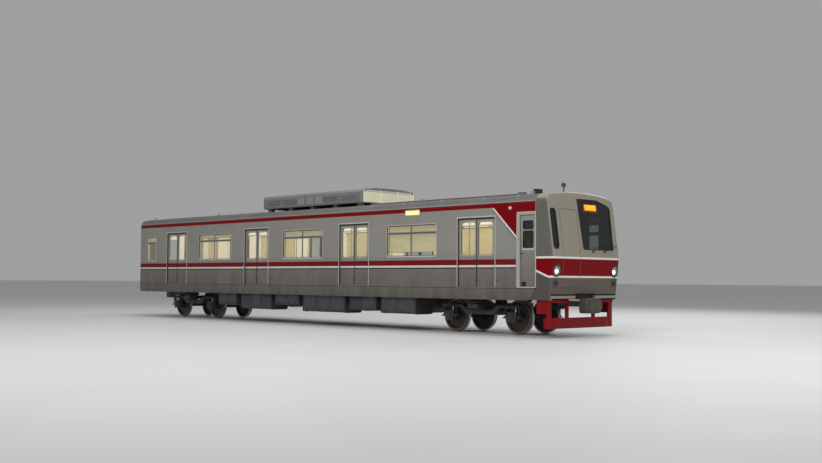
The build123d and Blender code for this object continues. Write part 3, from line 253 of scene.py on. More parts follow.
def plain(name, color, roughness, metallic, grain, scale, relief, **constants):
    """A painted or moulded surface: uneven tone, uneven gloss and a fine relief."""
    g = Graph(name)
    cloud = g.noise(scale, 4.0)
    fine = g.noise(scale * 14, 3.0)
    tone = g.mix(cloud, shade(color, 1 - grain * 2), shade(color, 1 + grain))
    gloss = g.plus(g.times(cloud, 0.6), g.times(fine, 0.4))
    gloss = g.spread(gloss, max(0.03, roughness - 0.09), min(1.0, roughness + 0.09))
    return g.finish(tone, gloss, metallic, g.bump(fine, relief), **constants)


def brushed_height(g):
    """Fine lines that run along the car."""
    return g.noise(160.0, 2.0, stretch=(0.02, 1, 1))


def grime_and_shade(g, color, low, high, strength=0.55):
    """Brake dust and road dirt, and painted shade, that thicken towards the bottom."""
    fade = g.below(g.z, (low + high) / 2, (high - low) / 2)
    streak = g.noise(3.0, 5.0, stretch=(1, 1, 0.35))
    share = g.math("MULTIPLY", g.times(fade, streak), strength * 1.6, clamp=True)
    return g.mix(share, color, GRIME_AND_SHADE)


def outer_side(g):
    """1 on the outer faces of the body's two sides, 0 inside and on the end wall."""
    return g.times(g.above(g.size(g.y), SKIN_BACK - 0.006), g.above(g.x, REAR_X + 0.003))


def diagonal_distance(g):
    """Metres to the right of the diagonal by the cab, square to it."""
    (x0, z0), (x1, z1) = DIAGONAL
    length = hypot(x1 - x0, z1 - z0)
    nx, nz = (z0 - z1) / length, (x1 - x0) / length
    along = g.plus(g.times(g.x, nx), g.times(g.z, nz))
    return g.minus(along, x0 * nx + z0 * nz)


def cab_panel(g):
    """Masks of the red panel by the cab and of the white, dark and fainter lines along its diagonal."""
    off = diagonal_distance(g)
    near_cab = g.times(g.above(g.x, DIAGONAL_FROM), g.below(g.z, TOP_RED[1]))
    before_door = g.below(g.x, CAB_FRAME[0])
    masks = [g.times(near_cab, g.above(off, 0.0), before_door)]
    for low, high, drop in ((-0.04, 0.0, 0.0), (-0.052, -0.04, 0.01), (-0.1, -0.088, 0.05)):
        under = g.below(g.z, DIAGONAL[0][1] - drop)
        masks.append(g.times(near_cab, g.band(off, low, high), before_door, under))
    return masks


def livery(name):
    """Satin silver with the belt stripe, the top stripe and the red panel by the cab, a painted shadow under
    the belt and painted shade on the lower panels.
    """
    g = Graph(name)
    streak = brushed_height(g)
    cloud = g.noise(1.3, 4.0)
    tone = g.mix(g.times(cloud, 0.8), SILVER, SILVER_DARK)
    outside = outer_side(g)
    # Painted shade: the outer sides darker below the belt, and the cab door darker towards its foot
    under_belt = g.times(g.below(g.z, BELT_SHADOW[0], 0.004), g.below(g.x, BELT_END))
    beyond_belt = g.times(g.below(g.z, up(2.0), 0.8), g.above(g.x, BELT_END))
    shaded = g.times(outside, g.most(under_belt, beyond_belt))
    tone = g.mix(g.times(shaded, 0.45), tone, SILVER_PAINTED_SHADE)
    before_cab = g.below(g.x, BELT_END)
    belt = (BELT_RED, BELT_WHITE, BELT_SHADOW)
    # The third mask is the painted shadow under the belt's white line
    red, white, dark = [g.times(before_cab, g.band(g.z, *limits)) for limits in belt]
    top_red = g.times(g.band(g.z, *TOP_RED), g.below(g.x, CAB_RED_END))
    panel, edge, fine, outer = cab_panel(g)
    over_door = g.times(g.above(g.x, CAB_FRAME[0] - 0.01), g.band(g.z, *CAB_RED), g.below(g.x, CAB_RED_END))
    reds = g.times(outside, g.most(red, top_red, panel, over_door))
    whites = g.times(outside, g.most(white, edge))
    # Dark lines along the diagonal, and the painted shadow under the belt
    lines_and_belt_shadow = g.times(outside, g.most(dark, fine, g.times(outer, 0.5)))
    for mask, color in ((reds, RED), (whites, WHITE), (lines_and_belt_shadow, LINE_DARK)):
        tone = g.mix(mask, tone, color)
    # Dirt and painted shade, thicker towards the bottom of the outer sides
    tone = g.mix(outside, tone, grime_and_shade(g, tone, 0.9, 2.3))
    metallic = g.spread(g.most(reds, whites), 0.55, 0.0)
    gloss = g.spread(g.plus(g.times(streak, 0.5), g.times(cloud, 0.5)), 0.3, 0.48)
    return g.finish(tone, gloss, metallic, g.bump(streak, 0.0004, 0.5), Specular_IOR_Level=0.1)


def sill_livery():
    """The skirt: a darker silver, partly painted shade, with a dark seam under the floor line, and dirt and
    painted shade below it.
    """
    g = Graph("skirt_silver")
    streak = brushed_height(g)
    cloud = g.noise(1.1, 4.0)
    # A darker silver than the sides: partly painted shade
    tone = g.mix(g.times(cloud, 0.8), srgb(140, 137, 132), srgb(120, 117, 112))
    tone = g.mix(g.band(g.z, *span(FLOOR, -0.03, -0.018)), tone, LINE_DARK)
    tone = grime_and_shade(g, tone, 0.84, 1.8, 0.75)
    return g.finish(tone, g.spread(streak, 0.34, 0.5), 0.5, g.bump(streak, 0.0004, 0.5))


def inside_cab(g):
    """1 on the inner faces of the front and the cab's rear wall, 0 outside."""
    rise = g.times(g.minus(g.z, NOSE_Z), tan(RAKE))
    fall = g.times(g.minus(NOSE_Z, g.z), tan(TUCK))
    deep = g.minus(g.minus(NOSE_X, g.most(rise, fall)), g.x)
    side = g.size(g.y)
    low_roof = g.most(g.times(g.below(side, 1.15), g.below(g.z, 3.545)), g.below(g.z, 3.3))
    return g.times(g.above(deep, 0.036), g.below(side, SKIN_BACK), low_roof)


def front_livery():
    """Light moulded front with its red band, white edge lines and darker corners, and painted shade on the
    fascia and the corners under the band.
    """
    g = Graph("mask_paint")
    cloud = g.noise(2.2, 4.0)
    fine = g.noise(60.0, 3.0)
    tone = g.mix(cloud, MASK, shade(MASK, 0.86))
    (x0, z0), (x1, z1) = SIDE_BAND_LOW
    slope = (z1 - z0) / (x1 - x0)
    edge_z = g.plus(g.times(g.math("MINIMUM", g.x, x1), slope), z0 - slope * x0)
    rise = g.minus(g.z, edge_z)
    upper = g.above(rise, FRONT_WHITE)
    # Painted shade on the fascia under the red band
    tone = g.mix(upper, FASCIA_PAINTED_SHADE, tone)
    corner = g.above(g.size(g.y), 1.376, 0.012)
    # Painted shade on the corners below the band
    speckle = g.mix(g.times(g.noise(34.0, 2.0), 0.3), g.mix(upper, CORNER_PAINTED_SHADE, CORNER), SILVER_DARK)
    tone = g.mix(corner, tone, speckle)
    low_white = g.band(rise, 0.0, FRONT_WHITE)
    high_white = g.band(g.z, *span(FRONT_RED_TOP, 0, FRONT_WHITE))
    tone = g.mix(g.times(upper, g.below(g.z, FRONT_RED_TOP)), tone, RED)
    tone = g.mix(g.most(low_white, high_white), tone, WHITE)
    tone = grime_and_shade(g, tone, 0.9, 1.35, 0.15)
    tone = g.mix(inside_cab(g), tone, CAB_DARK)
    return g.finish(tone, g.spread(cloud, 0.24, 0.4), 0.0, g.bump(fine, 0.0003, 0.4), Specular_IOR_Level=0.1,
                    Coat_Weight=0.02, Coat_Roughness=0.12)


def roof_paint():
    """Matt grey roof with dirt streaks and a lighter edge, and the stripe's top red up to the gutter."""
    g = Graph("roof_paint")
    cloud = g.noise(2.0, 5.0, stretch=(0.4, 1, 1))
    fine = g.noise(70.0, 3.0)
    tone = g.mix(cloud, srgb(84, 83, 81), srgb(118, 115, 111))
    tone = g.mix(g.times(g.below(g.z, EAVES + 0.09, 0.05), 0.35), tone, SILVER)
    red = g.times(outer_side(g), g.below(g.z, GUTTER[0]), g.below(g.x, CAB_RED_END))
    tone = g.mix(red, tone, RED)
    return g.finish(tone, g.spread(fine, 0.5, 0.68), 0.0, g.bump(fine, 0.0012, 0.5), Specular_IOR_Level=0.2)


def glass(name, tint, roughness=0.01):
    """Clear or tinted safety glass, a little uneven."""
    g = Graph(name)
    ripple = g.noise(1.5, 1.0)
    return g.finish(tint, roughness, 0.0, g.bump(ripple, 0.0006, 0.25), Transmission_Weight=1.0, IOR=1.45)


def lit(name, color, glow, strength):
    """A glowing surface: a lamp, sign or screen lit from inside, or a painted glow for the saloon lamps'
    light on the ceiling and the troughs.
    """
    g = Graph(name)
    tone = g.mix(g.noise(3.0, 3.0), shade(color, 0.9), color)
    return g.finish(tone, 0.5, 0.0, None, Emission_Color=glow, Emission_Strength=strength)


def lining():
    """Cream wall panels with a painted glow for the saloon lamps' light on them. Faces towards the cab are
    dark and unlit.
    """
    g = Graph("lining_cream")
    cloud = g.noise(3.0, 3.0)
    saloon = g.below(g.x, BULKHEAD_MID, 0.004)
    tone = g.mix(saloon, CAB_DARK, g.mix(cloud, srgb(214, 208, 190), srgb(232, 227, 212)))
    relief = g.bump(g.noise(90.0, 2.0), 0.0004)
    # Painted light: the saloon's faces glow as if lit by its lamps
    return g.finish(tone, g.spread(cloud, 0.42, 0.58), 0.0, relief, Emission_Color=srgb(255, 242, 212),
                    Emission_Strength=g.times(saloon, 0.44))


def led_panel():
    """Amber dots on black, redder along the panel's rim."""
    g = Graph("led_amber")
    dots = g.times(g.above(g.wave(g.y, 0.012), 0.42, 0.1), g.above(g.wave(g.z, 0.012), 0.42, 0.1))
    low, high = up(3.18, 3.316)
    rim = g.most(g.below(g.y, 0.155), g.above(g.y, 0.628), g.below(g.z, low), g.above(g.z, high))
    glow = g.mix(rim, srgb(255, 174, 24), srgb(205, 44, 12))
    glow = g.mix(g.spread(dots, 0.6, 1.0), srgb(120, 40, 8), glow)
    return g.finish(srgb(20, 16, 14), 0.4, 0.0, None, Emission_Color=glow, Emission_Strength=6.0)


def seat_cloth():
    """Moquette: a fine woven nap in two close tones."""
    g = Graph("seat_cloth")
    weave = g.times(g.wave(g.x, 0.006), g.wave(g.z, 0.006))
    tone = g.mix(weave, srgb(92, 22, 30), srgb(132, 36, 44))
    tone = g.mix(g.times(g.noise(12.0, 4.0), 0.4), tone, srgb(70, 20, 26))
    return g.finish(tone, 0.92, 0.0, g.bump(weave, 0.0012, 0.6), Sheen_Weight=0.4)


def wheel_steel():
    """Machined tread and rim, and a darker web with rust and brake dust, about the nearest axle."""
    g = Graph("wheel_steel")
    cloud = g.noise(9.0, 5.0)
    along = g.minus(g.size(g.minus(g.size(g.x), BOGIE_X)), AXLE_OFF)
    height = g.minus(g.z, AXLE_Z)
    radius = g.math("SQRT", g.plus(g.times(along, along), g.times(height, height)))
    rust = g.mix(cloud, srgb(58, 47, 40), srgb(92, 76, 66))
    dust = g.mix(g.below(radius, 0.2, 0.03), rust, srgb(62, 60, 58))
    rim = g.band(radius, 0.392, 0.4285, 0.003)
    tread = g.above(radius, 0.429, 0.0006)
    tone = g.mix(g.times(rim, 0.75), dust, g.mix(cloud, srgb(104, 100, 96), srgb(136, 132, 127)))
    tone = g.mix(tread, tone, srgb(170, 168, 165))
    gloss = g.minus(g.spread(cloud, 0.45, 0.7), g.times(tread, 0.28))
    metallic = g.spread(g.most(rim, tread), 0.25, 0.85)
    return g.finish(tone, gloss, metallic, g.bump(g.noise(50.0, 3.0), 0.0008, 0.5))


def blind_cloth():
    """Thin cream roller cloth with a fine weave and a patchy painted glow for the light that shines through
    it.
    """
    g = Graph("blind_cream")
    weave = g.times(g.wave(g.x, 0.004), g.wave(g.z, 0.004))
    tone = g.mix(g.noise(2.4, 3.0, stretch=(1, 1, 3)), srgb(204, 190, 146), srgb(228, 216, 176))
    # Patches of the painted glow
    folds = g.noise(1.6, 2.0, stretch=(1, 1, 4))
    return g.finish(tone, 0.85, 0.0, g.bump(weave, 0.0004, 0.5), Emission_Color=srgb(240, 226, 178),
                    Emission_Strength=g.spread(folds, 0.16, 0.42), Sheen_Weight=0.2)


def night_blind():
    """Dark green-grey cloth of the blinds behind the driver."""
    g = Graph("blind_night")
    weave = g.times(g.wave(g.y, 0.004), g.wave(g.z, 0.004))
    tone = g.mix(g.noise(2.4, 3.0), srgb(34, 40, 38), srgb(48, 54, 50))
    return g.finish(tone, 0.88, 0.0, g.bump(weave, 0.0004, 0.5), Sheen_Weight=0.2)


# Material's name, colour, roughness, metallic share, unevenness, scale of the pattern, relief
PLAIN = {
    "frame": ("door_frame_light", srgb(182, 180, 175), 0.34, 0.35, 0.05, 5.0, 0.0003),
    "rim": ("trim_bright", srgb(212, 210, 204), 0.3, 0.35, 0.05, 5.0, 0.0003),
    "unit": ("unit_grey", srgb(122, 121, 119), 0.48, 0.2, 0.1, 2.5, 0.0008),
    "unit_end": ("unit_fins", srgb(252, 251, 226), 0.25, 0.0, 0.04, 8.0, 0.0004),
    "unit_dark": ("unit_dark", srgb(70, 71, 74), 0.55, 0.3, 0.12, 6.0, 0.0006),
    "unit_trim": ("unit_trim", srgb(158, 158, 160), 0.42, 0.45, 0.08, 10.0, 0.0004),
    "rubber": ("rubber_black", (0.012, 0.012, 0.013, 1.0), 0.62, 0.0, 0.15, 20.0, 0.0005),
    "rubber_rib": ("rubber_rib", (0.03, 0.03, 0.032, 1.0), 0.62, 0.0, 0.15, 20.0, 0.0005),
    "floor": ("floor_vinyl", srgb(112, 108, 102), 0.5, 0.0, 0.18, 14.0, 0.0005),
    "steel": ("steel_plain", srgb(150, 150, 152), 0.36, 0.75, 0.08, 8.0, 0.0004),
    "steel_dark": ("steel_dark", srgb(58, 56, 54), 0.5, 0.55, 0.25, 12.0, 0.0008),
    "chrome": ("steel_bright", srgb(205, 206, 208), 0.16, 0.95, 0.05, 12.0, 0.0002),
    "desk": ("desk_grey", srgb(92, 96, 97), 0.5, 0.0, 0.1, 12.0, 0.0006),
    "black": ("underframe_black", srgb(42, 42, 45), 0.62, 0.1, 0.25, 5.0, 0.0012),
    "box": ("underframe_grey", srgb(66, 66, 70), 0.55, 0.2, 0.22, 4.0, 0.001),
    "box_trim": ("box_trim", srgb(78, 78, 82), 0.5, 0.3, 0.2, 6.0, 0.0008),
    "bogie": ("bogie_grey", srgb(72, 70, 70), 0.6, 0.2, 0.28, 6.0, 0.0014),
    "coupler": ("coupler_steel", srgb(86, 82, 78), 0.55, 0.35, 0.22, 9.0, 0.0016),
    "step": ("step_grey", srgb(150, 148, 143), 0.45, 0.3, 0.12, 9.0, 0.0007),
    "dark": ("panel_dark", srgb(26, 27, 28), 0.4, 0.0, 0.1, 14.0, 0.0003),
    "yellow": ("handle_yellow", srgb(206, 160, 40), 0.45, 0.0, 0.08, 10.0, 0.0004),
    "gutter": ("drip_rail", srgb(150, 148, 143), 0.4, 0.3, 0.06, 6.0, 0.0003),
    "sash": ("sash_grey", srgb(104, 106, 118), 0.4, 0.4, 0.08, 10.0, 0.0003),
    "seam": ("seam_grey", srgb(104, 101, 97), 0.5, 0.0, 0.08, 12.0, 0.0003),
    "bezel": ("lamp_bezel", srgb(58, 58, 60), 0.35, 0.3, 0.08, 14.0, 0.0003),
    "tail_bulb": ("tail_bulb", srgb(120, 20, 16), 0.25, 0.0, 0.05, 14.0, 0.0002),
    "roof_seam": ("roof_strap", srgb(134, 134, 136), 0.5, 0.3, 0.1, 8.0, 0.0005),
    "aerial": ("aerial_grey", srgb(120, 120, 122), 0.5, 0.0, 0.08, 14.0, 0.0004),
    "piping": ("seat_piping", srgb(60, 16, 22), 0.7, 0.0, 0.1, 30.0, 0.0003),
    "cab_box": ("cab_box", srgb(92, 98, 94), 0.55, 0.0, 0.1, 10.0, 0.0006),
    "coil": ("coil_paint", srgb(62, 66, 74), 0.42, 0.25, 0.15, 20.0, 0.0005),
}
MATERIALS = {look: plain(*row) for look, row in PLAIN.items()}
MATERIALS |= {
    "guard": plain("guard_red", srgb(132, 6, 10), 0.42, 0.0, 0.16, 7.0, 0.0009, Specular_IOR_Level=0.2),
    "marker": plain("marker_white", srgb(214, 202, 184), 0.25, 0.0, 0.06, 14.0, 0.0002, Coat_Weight=0.3),
    "driver_cloth": plain("driver_cloth", srgb(44, 48, 54), 0.9, 0.0, 0.18, 60.0, 0.0012, Sheen_Weight=0.3),
    "silver": livery("body_silver"),
    "skirt": sill_livery(),
    "front": front_livery(),
    "roof": roof_paint(),
    "glass": glass("window_clear", (0.9, 0.91, 0.88, 1.0)),
    "glass_dark": glass("windscreen_tinted", (0.22, 0.27, 0.24, 1.0)),
    "lens": glass("lamp_lens", (0.95, 0.96, 0.96, 1.0), 0.03),
    "lens_red": glass("tail_lens", (0.45, 0.02, 0.02, 1.0), 0.05),
    "lining": lining(),
    "cloth": seat_cloth(),
    "wheel": wheel_steel(),
    "blind": blind_cloth(),
    "night": night_blind(),
    "led": led_panel(),
    # Painted light: the ceiling glows, though it is no lamp
    "ceiling": lit("ceiling_white", srgb(228, 226, 218), srgb(255, 246, 224), 0.45),
    "tube": lit("light_tube", srgb(255, 255, 250), srgb(255, 250, 236), 5.0),
    "sign": lit("sign_lit", srgb(246, 226, 160), srgb(255, 214, 112), 1.0),
    "bulb": lit("lamp_glow", srgb(255, 255, 250), srgb(255, 250, 235), 7.0),
    "screen": lit("desk_screen", srgb(14, 26, 26), srgb(60, 150, 120), 0.16),
    # Painted light: the troughs glow, though they are no lamps
    "trough": lit("trough_white", srgb(232, 230, 224), srgb(255, 248, 230), 0.5),
}

# Look of the CAD's nodes, by the start of a node's name. The longest start that fits counts.
NODE_LOOKS = {
    "silver": "side_panels cantrails rear_wall door_leaves cab_door",
    "skirt": "sill_panels",
    "front": "cab_front front_escape_door",
    "frame": "cab_door_frames",
    "roof": "roof",
    "unit": "roof_unit",
    "glass": "window_glass door_glass cab_door_glass",
    "glass_dark": "cab_glass",
    "lens": "headlamps",
    "lens_red": "tail_lamps",
    "lining": "side_linings bulkhead gangway_door",
    "ceiling": "ceiling",
    "floor": "floor",
    "steel": "door_portals seat_bases",
    "chrome": "handrails",
    "cloth": "seat_cushions driver_seat_pads",
    "desk": "cab_desk",
    "black": "underframe driver_seat_base roof_antennas air_tanks",
    "box": "underfloor_boxes",
    "bogie": "bogie_frame bolster axle_boxes",
    "wheel": "wheelset",
    "coupler": "coupler",
    "guard": "front_guard",
    "step": "front_steps",
    "sign": "destination_signs",
    "rubber": "gangway_bellows springs",
}


def dress_nodes():
    """Gives every carried-over node its material."""
    looks = {start: look for look, starts in NODE_LOOKS.items() for start in starts.split()}
    for name, node in NODES.items():
        start = max((start for start in looks if name.startswith(start)), key=len)
        node.data.materials.clear()
        node.data.materials.append(MATERIALS[looks[start]])


# Meshes
ONE = (1,)
BOTH = (-1, 1)
SIDES = (("left", 1), ("right", -1))
AHEAD, OUT, UP = (1, 0, 0), (0, 1, 0), (0, 0, 1)
BACK, DOWN = (-1, 0, 0), (0, 0, -1)


class Piece:
    """Gathers solids into one mesh. Each solid names its material.

    sides says where each is made: 1 as given, which is the car's left, and -1 mirrored to its right."""

    def __init__(self, name, body="body", sides=ONE):
        self.name, self.body, self.sides, self.smooth = name, body, sides, 35
        self.verts, self.faces, self.looks, self.used = [], [], [], []

    def add(self, verts, faces, look):
        if look not in self.used:
            self.used.append(look)
        for sign in self.sides:
            start = len(self.verts)
            self.verts += [(x, sign * y, z) for x, y, z in verts]
            self.faces += [tuple(start + i for i in face) for face in faces]
            self.looks += [self.used.index(look)] * len(faces)

    def skin(self, rings, look, closed=False):
        """Faces from each ring of points to the next. The end rings are capped, or joined where closed."""
        count, sides = len(rings), len(rings[0])
        faces = []
        for i in range(count if closed else count - 1):
            here, there = i * sides, (i + 1) % count * sides
            for k in range(sides):
                m = (k + 1) % sides
                faces.append((here + k, here + m, there + m, there + k))
        if not closed:
            faces += [range(sides), range((count - 1) * sides, count * sides)]
        self.add([point for ring in rings for point in ring], faces, look)

    def box(self, x, y, z, look, chamfer=0.002):
        """A box over three spans, with its edges taken off."""
        low, high = zip(*map(sorted, (x, y, z)))
        c = min(chamfer, *((b - a) * 0.3 for a, b in zip(low, high)))
        verts, index = [], {}
        for corner in range(8):
            for axis in range(3):
                point = []
                for k in range(3):
                    inward = 0 if k == axis else c
                    point.append(high[k] - inward if corner >> k & 1 else low[k] + inward)
                index[corner, axis] = len(verts)
                verts.append(point)
        faces = [[index[corner, axis] for axis in range(3)] for corner in range(8)]
        for axis in range(3):
            a, b = (axis + 1) % 3, (axis + 2) % 3
            for side in (0, 1 << axis):
                faces.append([index[side | turn, axis] for turn in (0, 1 << a, 1 << a | 1 << b, 1 << b)])
            for edge in (0, 1 << a, 1 << b, 1 << a | 1 << b):
                end = edge | 1 << axis
                faces.append([index[edge, a], index[end, a], index[end, b], index[edge, b]])
        self.add(verts, faces, look)

    def tube(self, points, radius, look, sides=10, closed=False):
        """A round bar along a path."""
        points = [Vector(p) for p in points]
        count = len(points)
        rings = []
        side = None
        for i, point in enumerate(points):
            before = points[i - 1] if i or closed else point
            after = points[(i + 1) % count] if i < count - 1 or closed else point
            tangent = (after - before).normalized()
            side = side or tangent.orthogonal().normalized()
            side = (side - tangent * side.dot(tangent)).normalized()
            rings.append([point + turned for turned in spokes(side, tangent.cross(side), radius, sides)])
        self.skin(rings, look, closed)

    def lathe(self, origin, axis, profile, look, sides=32):
        """A profile of (distance along the axis, radius) turned about the axis."""
        origin, axis = Vector(origin), Vector(axis).normalized()
        side = axis.orthogonal().normalized()
        rings = []
        for along, radius in profile:
            middle = origin + axis * along
            rings.append([middle + turned for turned in spokes(side, axis.cross(side), radius, sides)])
        self.skin(rings, look)

    def ring(self, outline, place, inner, outer, low, high, look):
        """A strip round a closed outline, between two offsets and two heights."""
        rings = []
        for (au, av), (bu, bv) in zip(offset(outline, inner), offset(outline, outer)):
            rings.append([place(au, av, low), place(bu, bv, low), place(bu, bv, high), place(au, av, high)])
        self.skin(rings, look, closed=True)

    def plate(self, outline, place, low, high, look):
        """A flat plate with the outline, between two heights."""
        self.skin([[place(u, v, h) for u, v in outline] for h in (low, high)], look)

    def done(self):
        """Makes the object, gives it its materials and puts it on its body."""
        mesh = bpy.data.meshes.new(self.name)
        mesh.from_pydata(self.verts, [], self.faces)
        for look in self.used:
            mesh.materials.append(MATERIALS[look])
        mesh.polygons.foreach_set("material_index", self.looks)
        made = bmesh.new()
        made.from_mesh(mesh)
        bmesh.ops.recalc_face_normals(made, faces=made.faces)
        made.to_mesh(mesh)
        made.free()
        mesh.shade_smooth()
        mesh.set_sharp_from_angle(angle=radians(self.smooth))
        piece = bpy.data.objects.new(self.name, mesh)
        bpy.context.scene.collection.objects.link(piece)
        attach(piece, self.body)
        return piece


def build(sides, *fills, body="body"):
    """Makes one piece for each function. It has the function's name, and the function fills it."""
    for fill in fills:
        piece = Piece(fill.__name__, body, sides)
        fill(piece)
        piece.done()


def spokes(side, up_side, radius, count):
    """Steps from a circle's middle to the points on it."""
    turns = [2 * pi * k / count for k in range(count)]
    return [(side * cos(turn) + up_side * sin(turn)) * radius for turn in turns]


def offset(outline, distance):
    """Moves a counter-clockwise outline outwards, with mitred corners."""
    moved = []
    for i, (u, v) in enumerate(outline):
        (pu, pv), (nu, nv) = outline[i - 1], outline[(i + 1) % len(outline)]
        a, b = Vector((u - pu, v - pv)).normalized(), Vector((nu - u, nv - v)).normalized()
        out = Vector((a.y + b.y, -a.x - b.x))
        scale = distance / max(0.3, out.length_squared / 2)
        moved.append((u + out.x * scale, v + out.y * scale))
    return moved


def rounded(corners, radius, steps=6):
    """Rounds each corner of a counter-clockwise polygon. radius is one number or one per corner."""
    count = len(corners)
    radii = radius if isinstance(radius, list) else [radius] * count
    points = []
    for i, corner in enumerate(corners):
        here = Vector(corner)
        a = (Vector(corners[i - 1]) - here).normalized()
        b = (Vector(corners[(i + 1) % count]) - here).normalized()
        half = a.angle(b) / 2
        back = radii[i] / tan(half)
        centre = here + (a + b).normalized() * (radii[i] / sin(half))
        start, end = here + a * back - centre, here + b * back - centre
        sweep = start.angle_signed(end)
        for k in range(steps + 1):
            turn = -sweep * k / steps
            points.append((centre.x + start.x * cos(turn) - start.y * sin(turn),
                           centre.y + start.x * sin(turn) + start.y * cos(turn)))
    return points


def rectangle(u, v, radius=0.0, steps=6):
    """The outline of two spans, with rounded corners where there is a radius."""
    corners = [(u[0], v[0]), (u[1], v[0]), (u[1], v[1]), (u[0], v[1])]
    return rounded(corners, radius, steps) if radius else corners


def circle(u, v, radius, count=40, start=0.0):
    turns = [start + 2 * pi * k / count for k in range(count)]
    return [(u + radius * cos(t), v + radius * sin(t)) for t in turns]


def curve_points(points, steps=8):
    """A smooth line through the points."""
    points = [Vector(p) for p in points]
    made = []
    for i in range(len(points) - 1):
        before = points[max(0, i - 1)]
        a, b = points[i], points[i + 1]
        after = points[min(len(points) - 1, i + 2)]
        for k in range(steps):
            t = k / steps
            made.append(0.5 * (2 * a + (b - before) * t + (2 * before - 5 * a + 4 * b - after) * t * t
                               + (3 * a - before - 3 * b + after) * t ** 3))
    return made + [points[-1]]


# Maps from an outline's (u, v) and a height h out of the face to the frame
def on_side(face=HALF):
    """An upright face that looks to the car's side. u is x and v is z."""
    return lambda u, v, h: (u, face + h, v)


def facing_ahead(x):
    """An upright face that looks ahead. u is y and v is z."""
    return lambda u, v, h: (x + h, u, v)


def on_front(u, v, h):
    """The front, with its rake, its tuck and its rounded corners. u is y and v is z."""
    lean = RAKE if v >= NOSE_Z else -TUCK
    turn = asin(min(0.999, max(0.0, abs(u) - HALF + NOSE_ROUND) / NOSE_ROUND))
    x = NOSE_X - abs(v - NOSE_Z) * tan(abs(lean)) - NOSE_ROUND * (1 - cos(turn))
    side = sin(turn) if u > 0 else -sin(turn)
    return (x + h * cos(lean) * cos(turn), u + h * side, v + h * sin(lean) * cos(turn))


# Sides
TRIM_FROM = HALF - 0.0015               # trim starts a little inside the skin
PROUD = (TRIM_FROM, 1.403)
REVEAL = (1.3715, 1.3975)


def gutters(piece):
    """The drip rails along the roof's edges."""
    along = (REAR_X + 0.03, CAB_RED_END)
    piece.box(along, (1.376, 1.406), GUTTER, "gutter", 0.005)
    piece.box(along, (1.382, 1.401), span(GUTTER[0], -0.008, 0), "rubber")


def window_trim(piece):
    """Bright frames and rubbers of the saloon windows, with the sashes' rails. The rubber along each
    window's top is widened into a painted shadow.
    """
    for window in WINDOWS:
        outline = rectangle(window, GLASS, PANE_CORNER)
        piece.ring(outline, on_side(), -0.001, 0.018, -0.003, 0.004, "rim")
        piece.ring(outline, on_side(), -0.014, -0.001, -0.0135, -0.001, "rubber")
        piece.box(grow(window, -0.03), (TRIM_FROM, 1.407), span(GLASS[0], -0.034, -0.002), "rim", 0.004)
        # A rubber strip along the top, widened into a painted shadow
        piece.box(grow(window, -0.05), (1.386, 1.3975), span(GLASS[1], -0.026, 0.001), "rubber", 0.003)
        piece.box(grow(window, -0.004), PROUD, up(2.646, 2.684), "sash")
        if window[1] - window[0] > 1:
            piece.box(near(sum(window) / 2, 0.013), PROUD, grow(GLASS, -0.004), "sash")


def doorway_trim(piece):
    """Bright jambs and lintels, ribbed thresholds, and the rubbers that the leaves shut behind. The rubber
    under each lintel is widened into a painted shadow at the doorway's top.
    """
    lock = [(0, 0.02), (0.005, 0.02), (0.008, 0.012)]
    for x in DOORS:
        for way in (-1, 1):
            edge = x + way * DOOR_HALF
            piece.box((edge, edge + way * 0.022), PROUD, (FLOOR + 0.004, DOOR_TOP + 0.03), "rim")
            seal = (edge + way * 0.002, edge - way * 0.01)
            piece.box(seal, REVEAL, (FLOOR + 0.004, DOOR_TOP), "rubber", 0.003)
        piece.box(near(x, 0.7), (TRIM_FROM, 1.413), span(DOOR_TOP, 0.004, 0.034), "rim", 0.005)
        # Painted shadow: the rubber under the lintel widened to the recess's shadow
        piece.box(near(x, 0.65), REVEAL, span(DOOR_TOP, -0.034, 0.001), "rubber", 0.003)
        piece.lathe((x + 0.712, 1.398, up(1.38)), OUT, lock, "dark", 20)
        piece.box(near(x, 0.648), (1.37, 1.406), span(FLOOR, -0.01, 0.002), "steel")
        for k in range(4):
            rib = span(1.376 + 0.008 * k, 0, 0.004)
            piece.box(near(x, 0.645), rib, span(FLOOR, 0.001, 0.005), "steel", 0.001)


def leaf_trim(side, sign, name, way):
    """Window rubbers, meeting rubbers and grips of one set of leaves."""
    piece = Piece(f"leaf_trim_{side}_{name}", f"doors_{side}_{name}", (sign,))
    outer, inner = on_side(1.362), on_side(1.33)
    for x in DOORS:
        outline = rectangle(sorted((x + way * 0.055, x + way * 0.548)), GLASS, PANE_CORNER)
        piece.ring(outline, outer, -0.003, 0.007, -0.004, 0.003, "rubber")
        piece.ring(outline, outer, 0.007, 0.024, -0.001, 0.0024, "rim")
        piece.ring(outline, inner, -0.003, 0.015, 0.004, -0.003, "rubber")
        edge = (x + way * 0.0022, x + way * 0.02)
        piece.box(edge, (1.3275, 1.3648), (FLOOR + 0.012, DOOR_TOP + 0.03), "rubber", 0.003)
        grip = rectangle(near(x + way * 0.06, 0.014), span(FLOOR, 0.13, 0.22), 0.013)
        for place, low, high in ((outer, -0.001, 0.002), (inner, 0.001, -0.002)):
            piece.plate(grip, place, low, high, "dark")
            piece.ring(grip, place, 0.0, 0.006, low, high * 1.4, "steel")
    piece.done()


